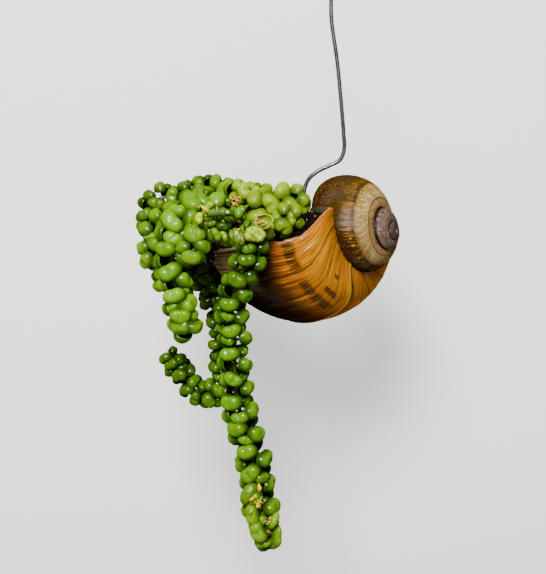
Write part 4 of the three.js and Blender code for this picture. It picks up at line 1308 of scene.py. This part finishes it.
# Loose leaves: centre, turn of the long side in degrees, width, narrowness, facing, root, paint and wrinkle.
MOUTH_LEAVES = [
    # Round the bare stem.
    ((-37.5, -39.2, -94.0), 88, 4.5, 0.95, (-0.3, -1, 0.2), (-34.9, -38, -92.6), (140, 166, 0), 0.04),
    ((-29.6, -37.0, -97.0), -12, 4.9, 0.95, (0.1, -1, -0.1), (-29.2, -36.4, -92), (34, 62, 0), 0.04),
    ((-33.3, -36.4, -96.0), 15, 3.9, 0.85, (-0.2, -1, -0.2), (-32.6, -37.3, -92.1), (62, 88, 0), 0.05),
    ((-32.0, -35.6, -99.8), -62, 6.0, 0.78, (0.2, -1, -0.1), (-31.5, -36.6, -92), (78, 110, 0), 0.03),
    ((-29.3, -36.0, -100.1), -64, 5.2, 0.8, (0.1, -1, 0.1), (-29.2, -36.4, -92), (86, 118, 0), 0.03),
    ((-24.5, -38.4, -100.6), -46, 7.6, 1.06, (-0.2, -1, 0.1), (-22.3, -27, -99), (78, 98, 18), 0.12),
    ((-18.4, -43.2, -99.5), -4, 7.9, 1.12, (0.05, -1, 0.1), (-19, -38, -101), (122, 150, 24), 0.17),
    ((-23.6, -34.4, -92.0), 62, 5.4, 1.0, (-0.1, -1, 0.3), (-24.5, -32.5, -93.5), (70, 108, 0), 0.04),
    ((-34.4, -33.0, -90.0), 40, 4.8, 0.95, (0.1, -1, 0.3), (-33.6, -37.6, -92.2), (98, 130, 0), 0.04),
    ((-39.2, -35.0, -97.0), 30, 4.0, 0.9, (-0.2, -1, 0.0), (-35, -38, -92.6), (60, 92, 0), 0.04),
    ((-21.0, -41.2, -96.2), 70, 3.6, 0.9, (-0.2, -1, 0.2), (-19, -38, -101), (46, 76, 0), 0.04),
    # The rear stem's, beside the shell, painted near black as painted shade.
    ((-33.6, -1.0, -111.6), 30, 7.0, 0.95, (0.3, -1, 0.1), (-38.2, 0, -119), (12, 30, 0), 0.04),
    ((-32.6, -2.0, -116.4), 150, 7.2, 0.95, (0.4, -1, 0.0), (-36.5, -2, -122), (12, 30, 0), 0.04),
    ((-30.8, -4.5, -120.6), 10, 7.0, 0.95, (0.4, -1, 0.1), (-35, -3.5, -125.5), (14, 34, 0), 0.04),
    ((-38.4, -2.0, -109.4), 60, 6.4, 0.95, (0.1, -1, 0.1), (-41, 2, -113), (12, 30, 0), 0.04),
    # Near the tip of the front stem.
    ((-15.4, -35.8, -187.5), 40, 6.4, 0.95, (0.3, -1, 0.1), (-17.8, -37, -187), (60, 92, 0), 0.05),
    ((-15.4, -36.4, -195.0), 60, 6.0, 0.95, (0.3, -1, 0.1), (-16.6, -37, -195), (50, 80, 0), 0.05),
    ((-20.6, -41.6, -190.2), 62, 9.2, 0.86, (-0.35, -1, 0.15), (-17.3, -37, -191), (70, 104, 0), 0.07),
    ((-19.2, -41.8, -197.6), 104, 9.0, 0.95, (-0.4, -1, 0.1), (-16.5, -37, -197), (80, 114, 2), 0.09),
    ((-17.4, -42.2, -203.2), 118, 9.4, 0.95, (-0.35, -1, 0.0), (-15.3, -37, -202.5), (86, 120, 4), 0.09),
    ((-15.6, -40.6, -208.0), 10, 6.4, 0.8, (-0.1, -1, -0.4), (-13.9, -37, -208), (84, 116, 2), 0.06),
    ((-11.8, -41.4, -199.4), 64, 7.2, 0.6, (0.5, -1, 0.1), (-15, -37, -204), (92, 124, 4), 0.07),
    ((-10.8, -40.8, -205.4), 84, 8.2, 0.56, (0.6, -1, 0.0), (-14, -37, -207), (80, 114, 2), 0.06),
]


def placed_leaf(centre, turn, width, facing, root):
    outward = unit(np.array(facing, float))
    side = unit(np.cross([0, 0, 1], outward))
    up = np.cross(outward, side)
    turn = math.radians(turn)
    across, along = side * math.cos(turn) + up * math.sin(turn), up * math.cos(turn) - side * math.sin(turn)
    return np.array(centre), across, along, outward, width, np.array(root)


def mouth_leaves_piece():
    rng = random.Random(29)
    build = Build()
    for centre, turn, width, narrow, facing, root, colour, wrinkle in MOUTH_LEAVES:
        light = np.array(srgb(*colour))
        leaf = placed_leaf(centre, turn, width, facing, root)
        # The leaf's green and two darker copies of it, for painted shade on its rim, crease, stalk and
        # underside.
        points, faces, paint = leaf_mesh(leaf, rng, (light, light * 0.3, light * 0.06), 0.0, wrinkle, narrow)
        build.add(points, faces, paint=paint)
    cup_leaf(build)
    return build.make("mouth_leaves")


CUP_CENTRE = np.array([-15.3, -42.0, -94.9])
CUP_SIDES = 28


def cup_leaf(build):
    """The curled leaf that holds a flower: an open bowl with a thick rim."""
    centre, half = CUP_CENTRE, 3.3
    _, across, along, outward, _, _ = placed_leaf(centre, 8, 1, (0.25, -1, 0.35), (0, 0, 0))
    angle = TURN * np.arange(CUP_SIDES) / CUP_SIDES
    profile = [(0.1, -0.78), (0.45, -0.74), (0.74, -0.58), (0.93, -0.3), (1.0, 0.0), (0.99, 0.09),
               (0.95, 0.12), (0.9, 0.06), (0.85, -0.08), (0.72, -0.28), (0.5, -0.44), (0.25, -0.5)]
    rings, paint = [], []
    for k, (share, height) in enumerate(profile):
        wave = 1 + 0.05 * np.sin(3 * angle + 0.4) + 0.04 * np.sin(5 * angle + 2.0)
        lift = height + 0.1 * np.sin(2 * angle + 1.0) * share ** 2
        lift = lift - 0.45 * np.exp(-((angle - 3.4) / 0.9) ** 2) * share ** 3
        x, y = share * wave * np.cos(angle), 0.78 * share * wave * np.sin(angle)
        rings.append(centre + half * (x[:, None] * across + y[:, None] * along + lift[:, None] * outward))
        colour = (84, 112, 2) if k < 5 else (128, 150, 20) if k < 8 else (92, 112, 4)
        paint.append(np.broadcast_to(srgb(*colour), (CUP_SIDES, 3)))
    ends = [centre - outward * half * 0.8, centre - outward * half * 0.5]
    paint += [np.array([srgb(84, 112, 2)]), np.array([srgb(92, 112, 4)])]
    faces = closed_faces(len(rings), CUP_SIDES)
    build.add(np.concatenate(rings + [np.array(ends)]), faces, paint=np.concatenate(paint))
    build.tube([(-18, -32, -98.0), (-17.2, -35.5, -96.8), ends[0]], 0.45, 8, paint=srgb(70, 96, 4))


# Small petals and dried bits: x and z of their view from the eye at OPEN_ROW, length, thickness, direction
# of growth and colour. Each one stands on the first leaf, stem or mix behind that place.
YELLOW, CREAM, TAN = (222, 184, 0), (214, 176, 110), (178, 118, 62)
BROWN, STRAW = (96, 50, 22), (208, 180, 30)
BLOSSOM = [
    # Yellow petal and pale bits along the bare stem.
    (-34.6, -91.8, 4.4, 1.7, (-0.75, -0.2, 0.66), YELLOW),
    (-37.6, -90.6, 1.6, 0.8, (-0.3, -0.5, 0.6), CREAM), (-33.0, -91.6, 1.1, 0.6, (0.1, -0.6, 0.6), CREAM),
    (-31.6, -91.4, 2.0, 0.35, (0.0, -0.3, 1.0), CREAM), (-35.7, -95.3, 1.6, 0.6, (0.5, -0.5, -0.7), TAN),
    (-29.7, -94.9, 1.8, 0.55, (0.6, -0.5, -0.6), CREAM),
    (-28.0, -92.2, 1.6, 1.5, (0.0, -0.8, 0.5), (214, 206, 160)),
    (-24.1, -94.9, 2.0, 2.2, (0.2, -1, 0.0), TAN), (-24.6, -96.2, 1.6, 1.4, (-0.3, -1, -0.3), BROWN),
    (-24.2, -98.0, 1.4, 1.2, (0.1, -1, 0.1), STRAW),
    # Bits on the mix, and petals near the tip of the front stem.
    (1.2, -92.0, 0.9, 0.6, (0.3, -1, 0.3), TAN), (2.4, -93.4, 0.7, 0.5, (-0.3, -1, 0.3), CREAM),
    (-0.6, -94.6, 0.6, 0.5, (0.2, -1, 0.5), (230, 226, 216)), (0.6, -90.4, 0.7, 0.5, (0.2, -1, 0.5), TAN),
    (-17.0, -190.0, 3.6, 1.7, (-0.05, -0.3, 1.0), YELLOW),
    (-18.8, -192.6, 2.6, 2.0, (-0.8, -0.5, -0.2), YELLOW),
    (-16.9, -195.6, 2.4, 1.6, (0.1, -0.6, -0.9), (200, 190, 0)),
    (-19.4, -197.0, 1.8, 1.2, (-0.7, -0.6, -0.4), STRAW),
    (-16.2, -197.6, 1.8, 1.2, (0.3, -0.8, -0.2), YELLOW),
    # A dried bit on the rear stem.
    (-34.4, -160.2, 1.4, 0.7, (0.2, -0.7, -0.5), TAN),
]


# Heads of many small petals: centre, radius, number of petals, where the stalk starts, and colours.
HEADS = [
    ((-25.1, -34.0, -87.8), 2.6, 40, (-24.4, -32.4, -93.0), (CREAM, TAN, BROWN, CREAM, STRAW, (40, 22, 10))),
    ((-16.6, -43.2, -95.3), 2.4, 32, (-16.4, -40.4, -96.0), (CREAM, STRAW, TAN, BROWN, (150, 160, 40))),
    ((-17.1, -42.6, -192.6), 2.5, 34, (-17.3, -37, -191),
     (YELLOW, YELLOW, (200, 196, 0), (150, 156, 10), STRAW)),
    ((-13.8, -42.4, -199.6), 1.9, 24, (-15.8, -37, -200.5), (CREAM, STRAW, TAN, BROWN)),
    ((-13.6, -41.8, -203.8), 1.2, 12, (-15.0, -37, -204), (CREAM, STRAW, TAN)),
]


def petal(ball, axis, length, half, flatness, bend):
    """A small curved petal round its own middle."""
    side = unit(np.cross(axis, [0.31, 0.77, 0.55]))
    other = np.cross(axis, side)
    t = ball[:, 2:]
    shape = axis * t * length / 2 + half * (ball[:, :1] * side + flatness * ball[:, 1:2] * other)
    return shape + side * (t ** 2 - 0.5) * bend * length


def flower_head(build, rng, centre, radius, count, stalk, colours):
    ball, ball_faces = icosphere(2)
    centre = np.array(centre)
    build.tube(np.linspace(stalk, centre, 6), 0.32, 8, paint=srgb(96, 84, 30))
    build.add(centre + ball * radius * 0.4, ball_faces, paint=srgb(60, 38, 14))
    for _ in range(count):
        out = unit(np.array([rng.gauss(0, 1), rng.gauss(-0.7, 1), rng.gauss(0, 1)]))
        axis = unit(out + np.array([rng.gauss(0, 0.5), rng.gauss(0, 0.5), rng.gauss(0, 0.5)]))
        length, thick = radius * rng.uniform(0.5, 1.0), radius * rng.uniform(0.2, 0.42)
        shape = petal(ball, axis, length, thick / 2, 0.5, rng.uniform(-0.3, 0.3))
        tint = np.array(srgb(*rng.choice(colours))) * rng.uniform(0.6, 1.1)
        # Painted shade: each petal is darker towards the middle of the head.
        build.add(centre + out * radius * rng.uniform(0.3, 0.6) + shape, ball_faces,
                  paint=tint * np.clip(0.75 + 0.35 * ball[:, 2:], 0, 1.1))


def blossom_piece(pieces):
    """Petals, flower heads and dried bits."""
    eye = Vector(EYE * MM)
    skins = [skin_of(piece) for piece in pieces]
    ball, ball_faces = icosphere(2)
    rng = random.Random(61)
    build = Build()
    for x, z, length, thick, direction, colour in BLOSSOM:
        run = (Vector((x * MM, OPEN_ROW * MM, z * MM)) - eye).normalized()
        hits = [skin.ray_cast(eye, run) for skin in skins]
        nearest = min((hit for hit in hits if hit[0] is not None), key=lambda hit: hit[3])
        place = np.array(nearest[0]) / MM
        axis = unit(np.array(direction, float))
        t = ball[:, 2:]
        taper = 1 - 0.4 * np.clip(t, 0, 1)
        shape = petal(ball, axis, length, taper * thick / 2, 0.6, rng.uniform(-0.2, 0.2))
        shape = shape + 0.08 * thick * wobble(ball * 3 + x, 2.0, 8)[:, None] * ball
        warm = rng.uniform(0.85, 1.1)
        # Painted shade: each petal is darker towards the end that stands on the leaf, stem or mix.
        painted_base_shade = np.clip(0.75 + 0.3 * t, 0, 1.1)
        build.add(place + axis * length * 0.32 + shape, ball_faces,
                  paint=np.array(srgb(*colour)) * warm * painted_base_shade)
    for head in HEADS:
        flower_head(build, rng, *head)
    # The dried end of the rear stem.
    for (start, end, radius) in (((-49.6, -10.5, -147.3), (-51.6, -11.4, -143.2), 0.45),
                                 ((-50.6, -11.0, -145.0), (-52.6, -12.4, -144.4), 0.3)):
        build.tube(np.linspace(start, end, 8), np.linspace(radius, radius * 0.3, 8), 8,
                   paint=srgb(188, 150, 84))
    return build.make("flower_parts")


def plant_material(name, roughness):
    shade = Shade(name)
    place = shade.object_place()
    fine = shade.noise(place, 1500.0, 3.0, 0.6)
    soft = shade.noise(place, 420.0, 2.0, 0.5)
    paint = shade.attribute("paint", colour=True)
    colour = shade.mix(shade.remap(soft, 0.4, 0.7, 0.0, 0.3), paint,
                       shade.mix(1.0, paint, (1.25, 1.12, 1.0), "MULTIPLY"))
    colour = shade.mix(shade.remap(fine, 0.55, 0.75, 0.0, 0.2), colour,
                       shade.mix(1.0, paint, (0.7, 0.78, 0.6), "MULTIPLY"))
    shade.bump(shade.add(shade.times(fine, 0.4), soft), 0.25, 0.0003)
    return shade.finish(Base_Color=colour, Roughness=roughness, Specular_IOR_Level=shade.gloss(0.26),
                        Subsurface_Weight=0.08, Subsurface_Scale=0.001)


# ---------------------------------------------------------------- the room


def studio():
    """A pale wall close behind the plant that glows as painted light, a pale floor far below it, soft light,
    and the camera.
    """
    wall_y, floor_z, bend = 75.0, -1100.0, 120.0
    profile = [(wall_y, 900.0), (wall_y, floor_z + bend)]
    for i in range(1, 13):
        angle = i / 12 * math.pi / 2
        profile.append((wall_y - bend + bend * math.cos(angle), floor_z + bend - bend * math.sin(angle)))
    profile.append((-1600.0, floor_z))
    points = [(side, y, z) for y, z in profile for side in (-1500.0, 1500.0)]
    faces = [(2 * i, 2 * i + 1, 2 * i + 3, 2 * i + 2) for i in range(len(profile) - 1)]
    build = Build()
    build.add(points, faces)
    backdrop = build.make("backdrop")
    shade = Shade("glowing_pale_wall")
    height = shade.tree.nodes.new("ShaderNodeSeparateXYZ")
    shade.put(height.inputs[0], shade.object_place())
    # Painted light: the wall glows, brighter higher up and fading to none towards the floor.
    painted_wall_glow = shade.remap(height.outputs["Z"], -0.56, -0.14, 0.0, 0.78)
    backdrop.data.materials.append(shade.finish(
        Base_Color=srgb(190, 190, 188), Roughness=0.95, Emission_Color=(1.0, 1.0, 0.99),
        Emission_Strength=painted_wall_glow))

    def light(name, place, target, size, power, colour=(1, 1, 1)):
        data = bpy.data.lights.new(name, "AREA")
        data.shape = "RECTANGLE"
        data.size, data.size_y = size
        data.energy = power
        data.color = colour
        lamp = bpy.data.objects.new(name, data)
        lamp.location = place
        run = Vector(target) - Vector(place)
        lamp.rotation_euler = run.to_track_quat("-Z", "Y").to_euler()
        bpy.context.scene.collection.objects.link(lamp)
        return lamp

    centre = (-0.01, -0.01, -0.12)
    # The soft lamp lights the forms, and the small one only shows as a highlight.
    light("key_light", (-0.16, -0.72, 0.42), centre, (0.3, 0.3), 27.0).visible_glossy = False
    light("fill_light", (-0.2, -0.62, -0.2), centre, (0.3, 0.3), 1.6).visible_glossy = False
    light("bare_bulb", (-0.05, -0.78, 0.34), centre, (0.11, 0.11), 27.0).visible_diffuse = False
    world = bpy.data.worlds.new("soft_room")
    world.use_nodes = True
    world.node_tree.nodes["Background"].inputs["Color"].default_value = (0.95, 0.97, 1.0, 1.0)
    world.node_tree.nodes["Background"].inputs["Strength"].default_value = 0.07
    bpy.context.scene.world = world

    data = bpy.data.cameras.new("camera")
    data.lens = 78.4
    data.sensor_width = 36.0
    data.clip_start = 0.01
    camera = bpy.data.objects.new("camera", data)
    camera.location = EYE * MM
    aim = Vector((-0.0122, -0.022, -0.1193)) - camera.location
    camera.rotation_euler = aim.to_track_quat("-Z", "Y").to_euler()
    bpy.context.scene.collection.objects.link(camera)
    bpy.context.scene.camera = camera


# ---------------------------------------------------------------- putting it together


def dress(piece, node, material):
    piece.data.materials.append(material)
    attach(piece, "root")
    if node:
        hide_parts(node)


dress(shell_piece(), "shell", shell_material())
dress(soil_piece(random.Random(17)), "potting_mix", soil_material())
dress(wire_piece(), "wire_hanger", wire_material())
dress(bare_stem_piece(), "bare_stem", plant_material("bare_stem_skin", 0.5))
leaf_materials = {slot: plant_material(slot + "_skin", rough)
                  for slot, rough in ((DEEP, 0.24), (MID, 0.32), (PALE, 0.38))}
grown = {strand: grown_leaves(strand) for strand in STRANDS}
crowd = Crowd(["shell", "potting_mix", "wire_hanger", "bare_stem"])
for _, leaves_there in grown.values():
    for _, leaf_there in leaves_there:
        crowd.add(leaf_there)
stems = []
for strand, (stem, leaves_there) in grown.items():
    piece = strand_piece(strand, stem, leaves_there, crowd)
    strand_slot = STRANDS[strand].slot
    dress(piece, strand, leaf_materials[strand_slot])
    stems.append(piece)
stems.append(bpy.data.objects["bare_stem_fine"])
stems.append(bpy.data.objects["potting_mix_fine"])
extra_leaves = mouth_leaves_piece()
dress(extra_leaves, None, leaf_materials[MID])
stems.append(extra_leaves)
dress(blossom_piece(stems), None, plant_material("petal_skin", 0.55))
studio()
